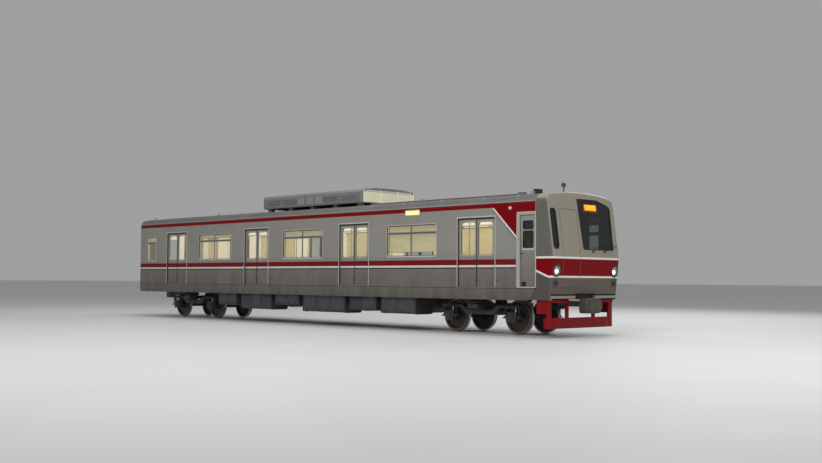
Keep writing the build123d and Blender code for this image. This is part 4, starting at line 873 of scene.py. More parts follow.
def cab_door_trim(side, sign):
    """Window frames, sill strip, handle and step plate of a cab side door."""
    piece = Piece(f"cab_door_trim_{side}", f"cab_door_{side}", (sign,))
    width, _, height = zip(*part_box(f"cab_door_glass_{side}"))
    face = 1.38
    outer, inner = on_side(face), on_side(1.34)
    bar = up(2.595, 2.672)
    for part in ((height[0], bar[0]), (bar[1], height[1])):
        outline = rectangle(width, part, 0.04)
        piece.ring(outline, outer, -0.006, 0.01, -0.008, 0.003, "rubber")
        piece.ring(outline, inner, -0.006, 0.01, 0.008, -0.003, "rubber")
    for edge in (span(bar[0], 0, 0.024), span(bar[1], -0.024, 0)):
        piece.box(grow(width, -0.004), span(face, -0.001, 0.0035), edge, "rubber", 0.001)
    piece.ring(rectangle(width, height, 0.04), outer, 0.01, 0.026, -0.001, 0.005, "frame")
    piece.box(grow(width, 0.026), span(face, -0.001, 0.008), up(2.138, 2.176), "rim", 0.004)
    step = rectangle((8.741, 8.898), up(1.231, 1.351), 0.02)
    piece.ring(step, outer, 0.0, 0.012, -0.001, 0.003, "steel")
    piece.plate(offset(step, 0.002), outer, -0.024, -0.02, "dark")
    x, z = 8.752, up(2.055)
    piece.lathe((x, face - 0.001, z), OUT, [(0, 0.022), (0.006, 0.021), (0.008, 0.012)], "dark", 20)
    handle = [(x, face, z), (x, 1.393, z), (8.79, 1.395, z), (8.835, 1.395, z - 0.002)]
    piece.tube(handle, 0.0065, "dark")
    piece.box(near(x, 0.008), span(face, -0.001, 0.004), span(z, -0.105, -0.072), "dark")
    piece.done()


def cab_frame_trim(piece):
    """The raised rim round each cab side door, its rubber, and the sill plate under it."""
    rim = rounded(rectangle(CAB_FRAME, (FLOOR, up(3.09))), [0.004, 0.004, 0.07, 0.07])
    piece.ring(rim, on_side(), -0.022, 0.0, -0.002, 0.006, "rim")
    opening = rectangle(CAB_OPENING, (FLOOR, up(3.004)), 0.012)
    piece.ring(opening, on_side(), 0.001, 0.009, -0.004, 0.0015, "rubber")
    piece.box(CAB_OPENING, (1.386, 1.412), span(FLOOR, -0.006, 0.004), "steel", 0.003)


def marker_lamps(piece):
    """The white side lamps beside the cab doors, each with its dark seat and a shade over it. The dark seat
    is also a painted shadow round the lamp.
    """
    x, z = 8.395, up(3.197)
    # Dark seat: partly painted shadow round the lamp
    piece.plate(rectangle(near(x, 0.085), near(z, 0.04), 0.038), on_side(), -0.001, 0.006, "dark")
    dome = [(0, 0.044), (0.008, 0.043), (0.024, 0.033), (0.034, 0.02), (0.038, 0.006)]
    piece.lathe((x, 1.405, z), OUT, dome, "marker", 28)
    points = ((-0.07, 1.404, 0), (-0.055, 1.416, 0.03), (0, 1.42, 0.046), (0.055, 1.416, 0.03),
              (0.07, 1.404, 0))
    piece.tube([(x + dx, y, z + dz) for dx, y, dz in points], 0.004, "frame", 8)


def sign_frames(piece):
    """Bright rims and rubbers round the two side signs."""
    width, _, height = zip(*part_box("destination_signs"))
    outline = rectangle(width, height, 0.012)
    piece.ring(outline, on_side(), 0.0, 0.016, -0.001, 0.0045, "rim")
    piece.ring(outline, on_side(), -0.008, 0.0, -0.002, 0.0025, "rubber")


def skirt_trim(piece):
    """The folded lip under the floor line, the lower hem, and the catches along the skirt."""
    piece.box((REAR_X + 0.06, 9.16), (TRIM_FROM, 1.404), up(1.178, 1.196), "skirt", 0.003)
    piece.box((REAR_X + 0.06, 8.93), PROUD, up(0.888, 0.902), "skirt", 0.003)
    for x in (-8.6, -6.2, -3.6, -1.2, 1.2, 3.6, 6.2, 8.3):
        plate = rectangle(near(x, 0.03), up(0.952, 1.012), 0.012)
        piece.ring(plate, on_side(), -0.003, 0.003, -0.001, 0.003, "skirt")
        piece.lathe((x, 1.399, up(0.982)), OUT, [(0, 0.014), (0.003, 0.013), (0.005, 0.006)], "steel", 14)


# Front
SCREEN_FOOT, SCREEN_TOP = up(2.165, 3.445)
WINDSCREEN = [(-0.13, SCREEN_FOOT), (1.155, SCREEN_FOOT), (1.19, up(3.25)), (1.09, up(3.325)),
              (0.64, SCREEN_TOP), (-0.2, SCREEN_TOP)]
SLIT = ((-1.33, -1.11), (SCREEN_FOOT, up(3.16)))
ESCAPE = ((-0.956, -0.264), up(1.204, 3.156))
LAMP_Y = 1.21
HIGH_AXIS = (cos(RAKE), 0, sin(RAKE))   # square to the front, above and below its nose
LOW_AXIS = (cos(TUCK), 0, -sin(TUCK))
LAMPS = (                               # height, radius, bezel, bowl's look, bulb's shift, radius and look
    (up(1.627), 0.13, 0.026, "chrome", (0, -0.012, -0.018), 0.066, "bulb"),
    (up(1.31), 0.1, 0.012, "dark", (0, 0, 0), 0.03, "tail_bulb"))


def fine_outline(corners, radius, step=0.05):
    """A rounded outline whose long edges are cut up, so that it can follow a curved front."""
    base = rounded(corners, radius)
    made = []
    for i, (u, v) in enumerate(base):
        nu, nv = base[(i + 1) % len(base)]
        parts = max(1, int(hypot(nu - u, nv - v) / step))
        made += [(u + (nu - u) * k / parts, v + (nv - v) * k / parts) for k in range(parts)]
    return made


def front_trim(piece):
    """Rubbers round the glass, and the seam round the emergency door."""
    screen = fine_outline(WINDSCREEN, [0.05, 0.05, 0.04, 0.1, 0.14, 0.04])
    slit = fine_outline(rectangle(*SLIT), 0.09)
    for outline, inner, middle, outer in ((screen, -0.02, 0.01, 0.017), (slit, -0.012, 0.014, 0.022)):
        piece.ring(outline, on_front, inner, middle, -0.0095, 0.0035, "rubber")
        piece.ring(outline, on_front, middle, outer, -0.001, 0.0025, "frame")
    gap = fine_outline(rectangle(*ESCAPE), 0.004)
    piece.ring(gap, on_front, 0.0, 0.008, -0.003, 0.0015, "seam")
    piece.smooth = 25


def lamp_trim(piece):
    """Bezels, reflectors and lit bulbs of the head and tail lamps."""
    for z, radius, rim, bowl_look, shift, size, bulb_look in LAMPS:
        piece.ring(circle(LAMP_Y, z, radius), on_front, -0.006, rim, -0.003, 0.012, "bezel")
        piece.ring(circle(LAMP_Y, z, radius - 0.012), on_front, -0.006, 0.0, 0.004, 0.01, "chrome")
        origin = Vector(on_front(LAMP_Y, z, 0.0))
        reach = radius * 0.8
        bowl = [(-0.062, reach * 0.4), (-0.046, reach * 0.72), (-0.022, reach * 0.97), (-0.014, reach)]
        piece.lathe(origin, LOW_AXIS, bowl, bowl_look, 36)
        bulb = [(-0.04, size), (-0.022, size * 0.92), (-0.012, size * 0.6), (-0.009, size * 0.15)]
        piece.lathe(origin + Vector(shift), LOW_AXIS, bulb, bulb_look, 28)


def wipers(piece):
    """Two wipers parked along the foot of the windscreen."""
    hub = [(-0.01, 0.034), (0.014, 0.033), (0.026, 0.022), (0.032, 0.01)]
    foot = up(2.12)
    for y, reach, height in ((0.26, 0.34, 2.215), (0.755, 0.31, 2.235)):
        z = up(height)
        tip = y + reach
        piece.lathe(on_front(y, foot, 0.0), HIGH_AXIS, hub, "dark", 24)
        arm = [on_front(y, foot, 0.024), on_front(y + reach * 0.3, up(2.16), 0.03), on_front(tip, z, 0.022)]
        piece.tube(arm, 0.0075, "dark", 8)
        blade = [on_front(tip - 0.27 + 0.054 * k, z + 0.004 * k, 0.01) for k in range(11)]
        piece.tube(blade, 0.006, "rubber", 6)
        spine = [on_front(tip - 0.24 + 0.048 * k, z + 0.004 + 0.0036 * k, 0.019) for k in range(11)]
        piece.tube(spine, 0.004, "dark", 6)


def front_sign(piece):
    """The dark sign board behind the top of the windscreen, and its lit amber panel."""
    board = [(-0.165, up(3.12)), (1.14, up(3.12)), (1.15, up(3.235)), (1.07, up(3.3)),
             (0.63, up(3.42)), (-0.18, up(3.42))]
    piece.plate(board, on_front, -0.12, -0.046, "dark")
    piece.ring(board, on_front, -0.012, 0.0, -0.05, -0.04, "sash")
    piece.plate(rectangle((0.125, 0.658), up(3.16, 3.333)), on_front, -0.05, -0.036, "led")


def front_fittings(piece):
    """The low slot, the lip above it and three cover screws on the front. The slot is a dark plate, painted
    shade for the coupler's opening.
    """
    # Painted shade: a dark plate where the coupler's opening lies in shadow
    piece.plate(rectangle((-0.4, 0.42), up(1.046, 1.072), 0.012), on_front, -0.01, 0.002, "dark")
    piece.plate(rectangle((-1.33, 1.33), up(1.108, 1.12)), on_front, -0.002, 0.005, "front")
    for y in (-0.62, 0.0, 0.62):
        screw = [(-0.004, 0.014), (0.004, 0.013), (0.006, 0.007)]
        piece.lathe(on_front(y, up(1.2), 0.0), LOW_AXIS, screw, "seam", 16)


# Roof
ROOF_CORNER = 0.24
ROOF_EDGE = HALF - ROOF_CORNER
ROOF_RISE = CROWN - EAVES
ROOF_BEND = (ROOF_EDGE ** 2 + ROOF_RISE ** 2 - ROOF_CORNER ** 2) / (2 * (ROOF_RISE - ROOF_CORNER))
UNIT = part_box("roof_unit")
UNIT_Z = up(3.65)
UNIT_SIDE = 1.12


def roof_z(y):
    """Height of the roof over y."""
    y = abs(y)
    if y < ROOF_EDGE * ROOF_BEND / (ROOF_BEND - ROOF_CORNER):
        return CROWN - ROOF_BEND + (ROOF_BEND ** 2 - y * y) ** 0.5
    return EAVES + max(0.0, ROOF_CORNER ** 2 - (y - ROOF_EDGE) ** 2) ** 0.5


def roof_seams(piece):
    """Flat straps over the roof's joints and the edges of the walkways."""
    section = ((-0.03, -0.003), (0.03, -0.003), (0.027, 0.005), (-0.027, 0.005))
    for x in (-8.9, -7.4, -5.9, -4.4, -3.1, 3.1, 4.4, 5.9, 7.4, 8.55):
        ys = [-1.36 + 0.068 * k for k in range(41)]
        piece.skin([[(x + dx, y, roof_z(y) + dz) for dx, dz in section] for y in ys], "roof_seam")
    piece.sides = BOTH
    for along in ((-9.4, -3.0), (3.0, 8.5)):
        piece.box(along, near(0.62, 0.012), span(roof_z(0.62), -0.004, 0.014), "roof_seam", 0.004)


def louvre(piece, place, u, v, fins, look="unit_dark", rim="unit_trim"):
    """A dark grille with sloping fins and a rim, on the surface that place maps to."""
    piece.plate(rectangle(u, v), place, -0.002, 0.002, look)
    piece.ring(rectangle(u, v), place, 0.0, 0.022, -0.002, 0.008, rim)
    pitch = (v[1] - v[0]) / fins
    section = ((0.1, 0.014), (0.22, 0.014), (0.95, 0.001), (0.78, 0.001))
    for k in range(fins):
        low = v[0] + pitch * k
        piece.skin([[place(end, low + pitch * share, h) for share, h in section] for end in u], rim)


def roof_unit_trim(piece):
    """Grilles, fans, lids and bolts of the roof unit, and the bright ribs of its ends."""
    place = on_side(UNIT_SIDE)
    bolt = [(-0.001, 0.01), (0.004, 0.009), (0.006, 0.005)]
    for x in (-2.2, -1.35, 0.62, 1.47):
        louvre(piece, place, span(x, 0, 0.7), span(UNIT_Z, 0.07, 0.28), 9)
    for x in (-0.45, 0.0, 0.42):
        lid = rectangle(near(x, 0.17), span(UNIT_Z, 0.06, 0.29), 0.02)
        piece.plate(lid, place, -0.001, 0.004, "unit_trim")
    for k in range(25):
        for z in span(UNIT_Z, 0.025, 0.312):
            piece.lathe((-2.36 + 4.69 * k / 24, UNIT_SIDE, z), OUT, bolt, "steel", 8)
    for x in (-2.1, -1.08, 0.0, 1.08, 2.1):
        piece.box(near(x, 0.012), (0.06, 0.555), span(UNIT_Z, 0.455, 0.4665), "unit_dark", 0.001)
    piece.sides = ONE
    unit_end_ribs(piece)
    for x in (-1.55, -0.6, 0.6, 1.55):
        fan(piece, x)


def unit_end_ribs(piece):
    """Bright ribs across both ends, standing on the end faces."""
    for way, x in ((1, UNIT[1].x), (-1, UNIT[0].x)):
        face = (x - way * 0.003, x + way * 0.005)
        piece.box(face, (-1.04, 1.04), span(UNIT_Z, 0.022, 0.322), "unit_end", 0.001)
        for k, half in enumerate([1.045] * 12 + [1.0, 0.96, 0.9]):
            row = span(UNIT_Z + 0.03 + 0.0245 * k, 0, 0.0125)
            piece.box((x - way * 0.004, x + way * 0.016), near(0, half), row, "unit_end", 0.004)
        for y in (-1.03, -0.35, 0.35, 1.03):
            piece.box((x, x + way * 0.02), near(y, 0.012), span(UNIT_Z, 0.02, 0.4), "unit_end", 0.004)


def fan(piece, x):
    """A round fan under its guard rings, sunk in the lid's middle."""
    z = UNIT_Z + 0.4655
    well = [(-0.012, 0.335), (0.003, 0.335), (0.003, 0.3), (-0.01, 0.296)]
    piece.lathe((x, 0, z), UP, well, "unit_dark", 48)
    for radius in (0.06, 0.12, 0.18, 0.24, 0.3):
        hoop = [(u, v, z + 0.001) for u, v in circle(x, 0, radius, 32)]
        piece.tube(hoop, 0.0035, "unit_trim", 6, closed=True)
    rim = circle(x, 0, 0.31, 12)
    for k in range(6):
        piece.tube([(*rim[k + 6], z + 0.001), (*rim[k], z + 0.001)], 0.003, "unit_trim", 6)
    piece.lathe((x, 0, z), UP, [(-0.004, 0.055), (0.003, 0.052), (0.0045, 0.02)], "unit_trim", 24)


def roof_fittings(piece):
    """Conduits with their clamps and boxes, lifting eyes and the aerial's foot."""
    y = 0.88
    z = roof_z(y) + 0.022
    piece.tube([(2.6, y, z), (8.3, y, z)], 0.016, "roof_seam")
    for k in range(10):
        piece.box(near(2.8 + 0.6 * k, 0.02), near(y, 0.03), span(z, -0.035, 0.012), "roof_seam", 0.006)
    piece.box((8.25, 8.45), near(y, 0.07), near(z, 0.05), "roof_seam", 0.012)
    y = 1.12
    z = roof_z(y)
    for x in (-9.2, -5.0, 5.0, 8.9):
        arch = ((-0.05, -0.01), (-0.045, 0.045), (0, 0.07), (0.045, 0.045), (0.05, -0.01))
        piece.tube(curve_points([(x + dx, y, z + dz) for dx, dz in arch], 5), 0.01, "steel", 8)
    piece.sides = ONE
    for x, y in circle(9.0, 0, 0.045, 6):
        piece.lathe((x, y, CROWN + 0.01), UP, [(0, 0.006), (0.006, 0.006)], "steel", 8)
    collar = [(-0.062, 0.02), (-0.055, 0.04), (-0.03, 0.06), (-0.028, 0.064), (-0.018, 0.064),
              (-0.016, 0.062)]
    piece.lathe((9.0, 0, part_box("roof_antennas")[1].z - 0.06), UP, collar, "aerial")


# Saloon
CEILING = up(3.39)
LINING_IN = 1.29
BENCHES = [(x0 + DOOR_HALF + 0.06, x1 - DOOR_HALF - 0.06) for x0, x1 in zip(DOORS[:-1], DOORS[1:])]
BENCHES.append((REAR_X + 0.15, DOORS[0] - DOOR_HALF - 0.12))
SEAT_LOW = FLOOR + 0.33
SALOON = (-9.5, 8.46)


def ceiling_lights(piece):
    """Two rows of lit tubes in white troughs, and the air duct between them."""
    y = 0.46
    piece.box(SALOON, near(y, 0.11), span(CEILING, -0.022, 0.001), "trough", 0.008)
    for k in range(14):
        x = -9.36 + 1.27 * k
        piece.tube([(x, y, CEILING - 0.04), (x + 1.17, y, CEILING - 0.04)], 0.016, "tube", 12)
        for end in (x - 0.012, x + 1.182):
            piece.box(near(end, 0.014), near(y, 0.022), span(CEILING, -0.058, -0.02), "trough", 0.004)
    piece.sides = ONE
    piece.box(SALOON, (-0.2, 0.2), span(CEILING, -0.03, 0.001), "trough", 0.012)
    for k in range(90):
        for y in (-0.13, 0.0, 0.13):
            slot = near(-9.42 + 0.2 * k, 0.07)
            piece.box(slot, near(y, 0.006), span(CEILING, -0.034, -0.028), "dark", 0.001)


def lining_trim(piece):
    """Frames round the windows inside, the skirting and the joints of the wall panels."""
    for window in WINDOWS:
        outline = rectangle(window, GLASS, PANE_CORNER)
        piece.ring(outline, on_side(LINING_IN), -0.002, 0.022, 0.002, -0.006, "frame")
        piece.ring(outline, on_side(1.306), -0.004, 0.006, 0.016, -0.016, "frame")
    for bench in BENCHES:
        piece.box(grow(bench, 0.05), (1.281, 1.2895), span(FLOOR, 0, 0.09), "steel", 0.003)
        for x in grow(bench, 0.045):
            piece.box(near(x, 0.01), (1.284, 1.2898), (FLOOR + 0.1, DOOR_TOP - 0.02), "frame")


def heater_grilles(piece):
    """Vented fronts of the boxes under the benches, with a rail along the top."""
    for bench in BENCHES:
        for part in shares(bench, 0.85, 0.04):
            outline = rectangle(part, span(FLOOR, 0.06, 0.27), 0.02)
            piece.ring(outline, on_side(0.92), -0.008, 0.004, 0.001, -0.005, "frame")
            for row in range(6):
                slot = span(FLOOR + 0.085 + 0.03 * row, 0, 0.01)
                piece.box(grow(part, -0.02), (0.9165, 0.9205), slot, "dark", 0.001)
        piece.tube([(x, 0.917, SEAT_LOW - 0.012) for x in grow(bench, -0.01)], 0.01, "chrome")


def rail_fittings(piece):
    """Flanges at the poles' ends and clamps on the racks' ties."""
    flange = [(0, 0.036), (0.006, 0.036), (0.012, 0.022), (0.02, 0.0175)]
    for bench in BENCHES:
        for x in grow(bench, -0.03):
            piece.lathe((x, 0.835, FLOOR), UP, flange, "chrome", 20)
            piece.lathe((x, 0.835, CEILING), DOWN, flange, "chrome", 20)
        low, high = grow(bench, -0.085)
        for k in range(4):
            clamp = rectangle(near(low + (high - low) * k / 3, 0.028), up(2.928, 2.998), 0.02)
            piece.plate(clamp, on_side(LINING_IN), 0.001, -0.006, "frame")


BLINDS = {                              # drawn down to, as shares of the window from its foot up
    1: ("left", (0.02, 0.02, 0.02, 0.02)),
    -1: ("right", (0.86, 0.78, 0.13, 0.7))}
SALOON_BARS = {                         # how far out, up or down from the cloth, and how thick
    "roller": (0.015, 0.012, 0.015), "hem": (-0.005, 0.003, 0.0065),
    "bracket": (0.019, 0.006, (-0.01, 0.036), (-0.018, 0.022), 0.003)}
NIGHT_BARS = {
    "roller": (0.012, 0.01, 0.011), "hem": (0.004, 0.002, 0.0055),
    "bracket": (0.014, 0.004, (-0.008, 0.028), (-0.0115, 0.012), 0.002)}


def blind_bars(piece, place, across, low, high, sizes):
    """A blind's roller, its hem bar and the brackets at the roller's ends."""
    over, rise, radius = sizes["roller"]
    piece.tube([place(u, high + rise, 0) for u in grow(across, over)], radius, "frame", 14)
    over, drop, radius = sizes["hem"]
    piece.tube([place(u, low - drop, 0) for u in grow(across, over)], radius, "frame")
    over, half, tall, deep, chamfer = sizes["bracket"]
    for u in grow(across, over):
        corners = [place(u + side * half, high + v, h) for side, v, h in zip((-1, 1), tall, deep)]
        piece.box(*zip(*corners), "frame", chamfer)


def blind(cloth, place, across, low, high, cells, sizes, look, bow):
    columns, rows = cells
    width, drop = across[1] - across[0], high - low
    verts, faces = [], []
    for j in range(rows + 1):
        for i in range(columns + 1):
            u, v = i / columns, j / rows
            verts.append(place(across[0] + width * u, high - drop * v, bow(u, v)))
    for j in range(rows):
        for i in range(columns):
            a = j * (columns + 1) + i
            faces.append((a, a + 1, a + columns + 2, a + columns + 1))
    cloth.add(verts, faces, look)
    bars = Piece(cloth.name + "_bars", cloth.body, cloth.sides)
    blind_bars(bars, place, across, low, high, sizes)
    cloth.done()
    bars.done()


def ripple(u, v):
    return 0.0025 * sin(u * 23.0 + 1.3 * sin(v * 5.0)) * v + 0.0015 * sin(v * 9.0)


def saloon_blinds():
    """The saloon's roller blinds, numbered from the rear bay forwards, with the short rear window last."""
    high = up(2.905)
    for sign, (side, drawn) in BLINDS.items():
        for number, (window, share) in enumerate(zip(WINDOWS, drawn), 1):
            cloth = Piece(f"blind_{side}_{number}", sides=(sign,))
            across = grow(window, 0.015)
            low = GLASS[0] + (GLASS[1] - GLASS[0]) * share
            cells = max(8, int((across[1] - across[0]) / 0.05)), max(4, int((high - low) / 0.05))
            blind(cloth, on_side(1.268), across, low, high, cells, SALOON_BARS, "blind", ripple)


def night_blinds():
    """Dark blinds drawn over the windows of the cab's rear wall, on the cab's side."""
    for name, body, across, top in (("blind_night_wall", "body", (0.03, 0.93), 2.875),
                                    ("blind_night_door", "bulkhead_door", (-0.79, -0.36), 2.82)):
        low, high = up(2.07, top)
        blind(Piece(name, body), facing_ahead(8.616), across, low, high, (16, 14), NIGHT_BARS, "night",
              lambda u, v: 0.0015 * sin(u * 17.0) * v)


# Cushions
SOFT_STEPS = 20
SMOOTHINGS = 6
MODULE = 0.48


def evaluated(item):
    """The mesh of an object with its modifiers applied."""
    return bpy.data.meshes.new_from_object(item.evaluated_get(bpy.context.evaluated_depsgraph_get()))


def pad_mesh(name, size):
    """A closed pad with rounded edges, centred at the origin."""
    made = bmesh.new()
    bmesh.ops.create_cube(made, size=1.0)
    bmesh.ops.scale(made, vec=size, verts=made.verts)
    edges = list(made.edges)
    bmesh.ops.bevel(made, geom=edges, offset=min(size) * 0.4, segments=5, profile=0.5, affect="EDGES")
    mesh = bpy.data.meshes.new(name)
    made.to_mesh(mesh)
    made.free()
    return mesh


def inflate(pad, size, cap, held):
    """Blows a pad up in a cloth simulation and applies it. No point moves further than cap."""
    scene = bpy.context.scene
    rest = [v.co.copy() for v in pad.data.vertices]
    axis, end = held
    flat = pad.vertex_groups.new(name="flat")
    flat.add([i for i, co in enumerate(rest) if co[axis] * end > size[axis] * 0.46], 1.0, "REPLACE")
    cloth = pad.modifiers.new("cloth", "CLOTH")
    cloth.settings.use_pressure = True
    cloth.settings.uniform_pressure_force = 4
    cloth.settings.effector_weights.gravity = 0
    cloth.settings.mass = 0.3
    cloth.settings.quality = 5
    cloth.settings.vertex_group_mass = "flat"
    cloth.collision_settings.use_collision = False
    for number in range(1, SOFT_STEPS + 1):
        scene.frame_set(number)
    moved = evaluated(pad)
    furthest = max((point.co - start).length for point, start in zip(moved.vertices, rest))
    share = min(1.0, cap / furthest)
    for point, start in zip(moved.vertices, rest):
        point.co = start.lerp(point.co, share)
    pad.modifiers.clear()
    scene.frame_set(1)
    pad.data = moved


def plump(name, size, voxel, cap, held=(2, -1)):
    """The settled mesh of a plump pad. held is the axis and the end of the face that rests on its board."""
    pad = bpy.data.objects.new(name, pad_mesh(name, size))
    bpy.context.scene.collection.objects.link(pad)
    remesh = pad.modifiers.new("remesh", "REMESH")
    remesh.mode = "VOXEL"
    remesh.voxel_size = voxel
    bpy.context.view_layer.update()
    settled = evaluated(pad)
    pad.modifiers.clear()
    pad.data = settled
    inflate(pad, size, cap, held)
    made = bmesh.new()
    made.from_mesh(pad.data)
    every_way = {"use_axis_x": True, "use_axis_y": True, "use_axis_z": True}
    for _ in range(SMOOTHINGS):
        bmesh.ops.smooth_vert(made, verts=made.verts, factor=0.5, **every_way)
    mesh = bpy.data.meshes.new(name + "_settled")
    made.to_mesh(mesh)
    made.free()
    bpy.data.objects.remove(pad)
    return mesh


def thin(mesh, share):
    """The mesh with only a share of its triangles, its outline kept."""
    piece = bpy.data.objects.new("thinning", mesh)
    bpy.context.scene.collection.objects.link(piece)
    fewer = piece.modifiers.new("fewer", "DECIMATE")
    fewer.ratio = share
    bpy.context.view_layer.update()
    made = evaluated(piece)
    bpy.data.objects.remove(piece)
    return made


def add_fitted(piece, mesh, spans, look):
    """Adds the mesh, moved and scaled so that its box fills three spans."""
    points = [v.co for v in mesh.vertices]
    scaled = []
    for k, (low, high) in enumerate(spans):
        values = [p[k] for p in points]
        old = min(values)
        rate = (high - low) / (max(values) - old)
        scaled.append([low + (value - old) * rate for value in values])
    piece.add(list(zip(*scaled)), [tuple(f.vertices) for f in mesh.polygons], look)


def finish_soft(piece, node):
    """Makes a padded piece that stands for a soft node."""
    piece.smooth = 60
    made = piece.done()
    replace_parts(made, node)


def saloon_cushions():
    """One seat pad and one back pad, simulated once and repeated along every bench."""
    seat = thin(plump("seat_pad", (0.45, 0.396, 0.07), 0.011, 0.024), 0.22)
    back = thin(plump("back_pad", (0.45, 0.052, 0.35), 0.01, 0.018, (1, 1)), 0.22)
    kinds = (("seats", seat, (0.8605, 1.2865), span(SEAT_LOW, 0.0005, 0.0895)),
             ("backs", back, (1.2205, 1.2895), span(SEAT_LOW, 0.0935, 0.4695)))
    for side, sign in SIDES:
        for kind, mesh, deep, tall in kinds:
            piece = Piece(f"saloon_{kind}_{side}", sides=(sign,))
            for bench in BENCHES:
                for along in shares(bench, MODULE, 0.0015):
                    add_fitted(piece, mesh, (along, deep, tall), "cloth")
                    seat_piping(piece, kind, grow(along, -0.004), deep, tall)
            finish_soft(piece, "seat_cushions")


def seat_piping(piece, kind, along, deep, tall):
    """A thin piped seam round the upper edge of a seat or the front edge of a back."""
    if kind == "seats":
        outline = rectangle(along, grow(deep, -0.004), 0.035, 3)
        path = [(u, v, tall[1] - 0.024) for u, v in outline]
    else:
        outline = rectangle(along, grow(tall, -0.004), 0.035, 3)
        path = [(u, deep[0] + 0.018, v) for u, v in outline]
    piece.tube(path, 0.0035, "piping", 5, closed=True)


def driver_pads():
    """The driver's seat pad and back pad."""
    seat = plump("driver_seat_soft", (0.29, 0.38, 0.052), 0.008, 0.022)
    back = plump("driver_back_soft", (0.052, 0.38, 0.38), 0.008, 0.022, (0, -1))
    piece = Piece("driver_cushions")
    across = (0.2955, 0.7045)
    add_fitted(piece, seat, ((8.7605, 9.0645), across, up(1.6305, 1.6995)), "driver_cloth")
    add_fitted(piece, back, ((8.6705, 8.7395), across, up(1.7205, 2.1295)), "driver_cloth")
    finish_soft(piece, "driver_seat_pads")


# Cab
def desk_fittings(piece):
    """The instrument hood, screens, gauges, handles and switches of the driver's desk."""
    top = up(2.0)
    piece.box((9.47, 9.585), (0.06, 1.02), span(top, -0.015, 0.105), "dark", 0.02)
    for y in (0.2, 0.5):
        piece.box((9.463, 9.473), near(y, 0.11), span(top, 0.012, 0.09), "bezel", 0.003)
        piece.box((9.46, 9.465), near(y, 0.095), span(top, 0.02, 0.082), "screen", 0.001)
    dial = top + 0.052
    for y in (0.7, 0.8, 0.9):
        piece.lathe((9.472, y, dial), BACK, [(0, 0.042), (0.01, 0.042), (0.012, 0.036)], "bezel", 24)
        piece.lathe((9.461, y, dial), BACK, [(0, 0.034), (0.002, 0.033)], "frame", 24)
        piece.tube([(9.457, y, dial), (9.457, y + 0.016, dial + 0.02)], 0.002, "dark", 6)
    knob = [(-0.006, 0.01), (0.01, 0.01), (0.014, 0.006)]
    for k in range(12):
        look = ("yellow", "frame", "dark")[k % 3]
        piece.lathe((9.395, 0.16 + 0.035 * k, top + 0.012), UP, knob, look, 12)
    foot = [(-0.01, 0.055), (0.012, 0.055), (0.022, 0.04)]
    grip = [(-0.012, 0.02), (0.0, 0.028), (0.022, 0.028), (0.034, 0.016)]
    for y, z in ((0.245, top + 0.14), (0.8, top + 0.17)):
        piece.lathe((9.335, y, top + 0.006), UP, foot, "dark", 24)
        piece.tube([(9.335, y, top + 0.02), (9.33, y, z)], 0.011, "chrome")
        piece.lathe((9.33, y, z), UP, grip, "dark", 20)
    piece.box((9.36, 9.44), (0.92, 1.06), span(top, -0.005, 0.045), "dark", 0.012)


def cab_fittings(piece):
    """Cabinets on the bulkhead, low and high, and a sun visor on its rail."""
    back, face = 8.61, 8.7
    piece.box((back, face), (0.02, 1.2), (FLOOR + 0.02, up(2.06)), "cab_box", 0.012)
    lock = [(0, 0.012), (0.01, 0.012), (0.012, 0.008)]
    for k in range(4):
        y = 0.06 + 0.285 * k
        door = rectangle((y, y + 0.24), (FLOOR + 0.1, up(2.0)), 0.02)
        piece.ring(door, facing_ahead(face), -0.01, 0.0, -0.001, 0.003, "dark")
        piece.lathe((face, y + 0.2, up(1.7)), AHEAD, lock, "steel", 14)
    piece.box((back, 8.76), (-0.1, 1.2), up(2.9, 3.16), "cab_box", 0.015)
    piece.box((9.25, 9.262), (0.05, 1.05), up(3.02, 3.2), "dark", 0.004)
    piece.tube([(9.256, y, up(3.205)) for y in (0.02, 1.08)], 0.008, "steel")


def driver_seat_fittings(piece):
    """Runners, lever and bellows of the driver's seat."""
    for y in (0.33, 0.67):
        piece.box((8.7, 9.04), near(y, 0.018), up(1.604, 1.616), "dark", 0.004)
    lever = [(8.98, 0.7, up(1.612)), (9.02, 0.745, up(1.612)), (9.05, 0.75, up(1.62))]
    piece.tube(lever, 0.008, "steel")
    fold = [(0, 0.058), (0.01, 0.078), (0.032, 0.078), (0.042, 0.058)]
    for k in range(6):
        piece.lathe((8.86, 0.5, FLOOR + 0.05 + 0.045 * k), UP, fold, "rubber", 28)


# Under the floor
EQUIPMENT_HALF = 4.9
MEMBER_Z = up(0.99)
BOX_FACE = 1.27
BOX_ROWS = {                            # side: (start, end) as shares of EQUIPMENT_HALF, depth, vented
    1: [(-0.96, -0.64, 0.56, True), (-0.59, -0.27, 0.48, False), (-0.22, 0.14, 0.6, False),
        (0.19, 0.47, 0.52, True), (0.51, 0.73, 0.58, False), (0.78, 1, 0.43, False)],
    -1: [(-0.96, -0.74, 0.5, False), (-0.69, -0.35, 0.59, True), (-0.31, -0.06, 0.43, False),
         (-0.02, 0.39, 0.6, False), (0.43, 0.67, 0.5, True), (0.71, 1, 0.56, False)]}
PIPES = ((-0.34, 0.985, 0.018), (-0.4, 0.985, 0.014), (0.34, 0.985, 0.02), (0.41, 0.98, 0.016))


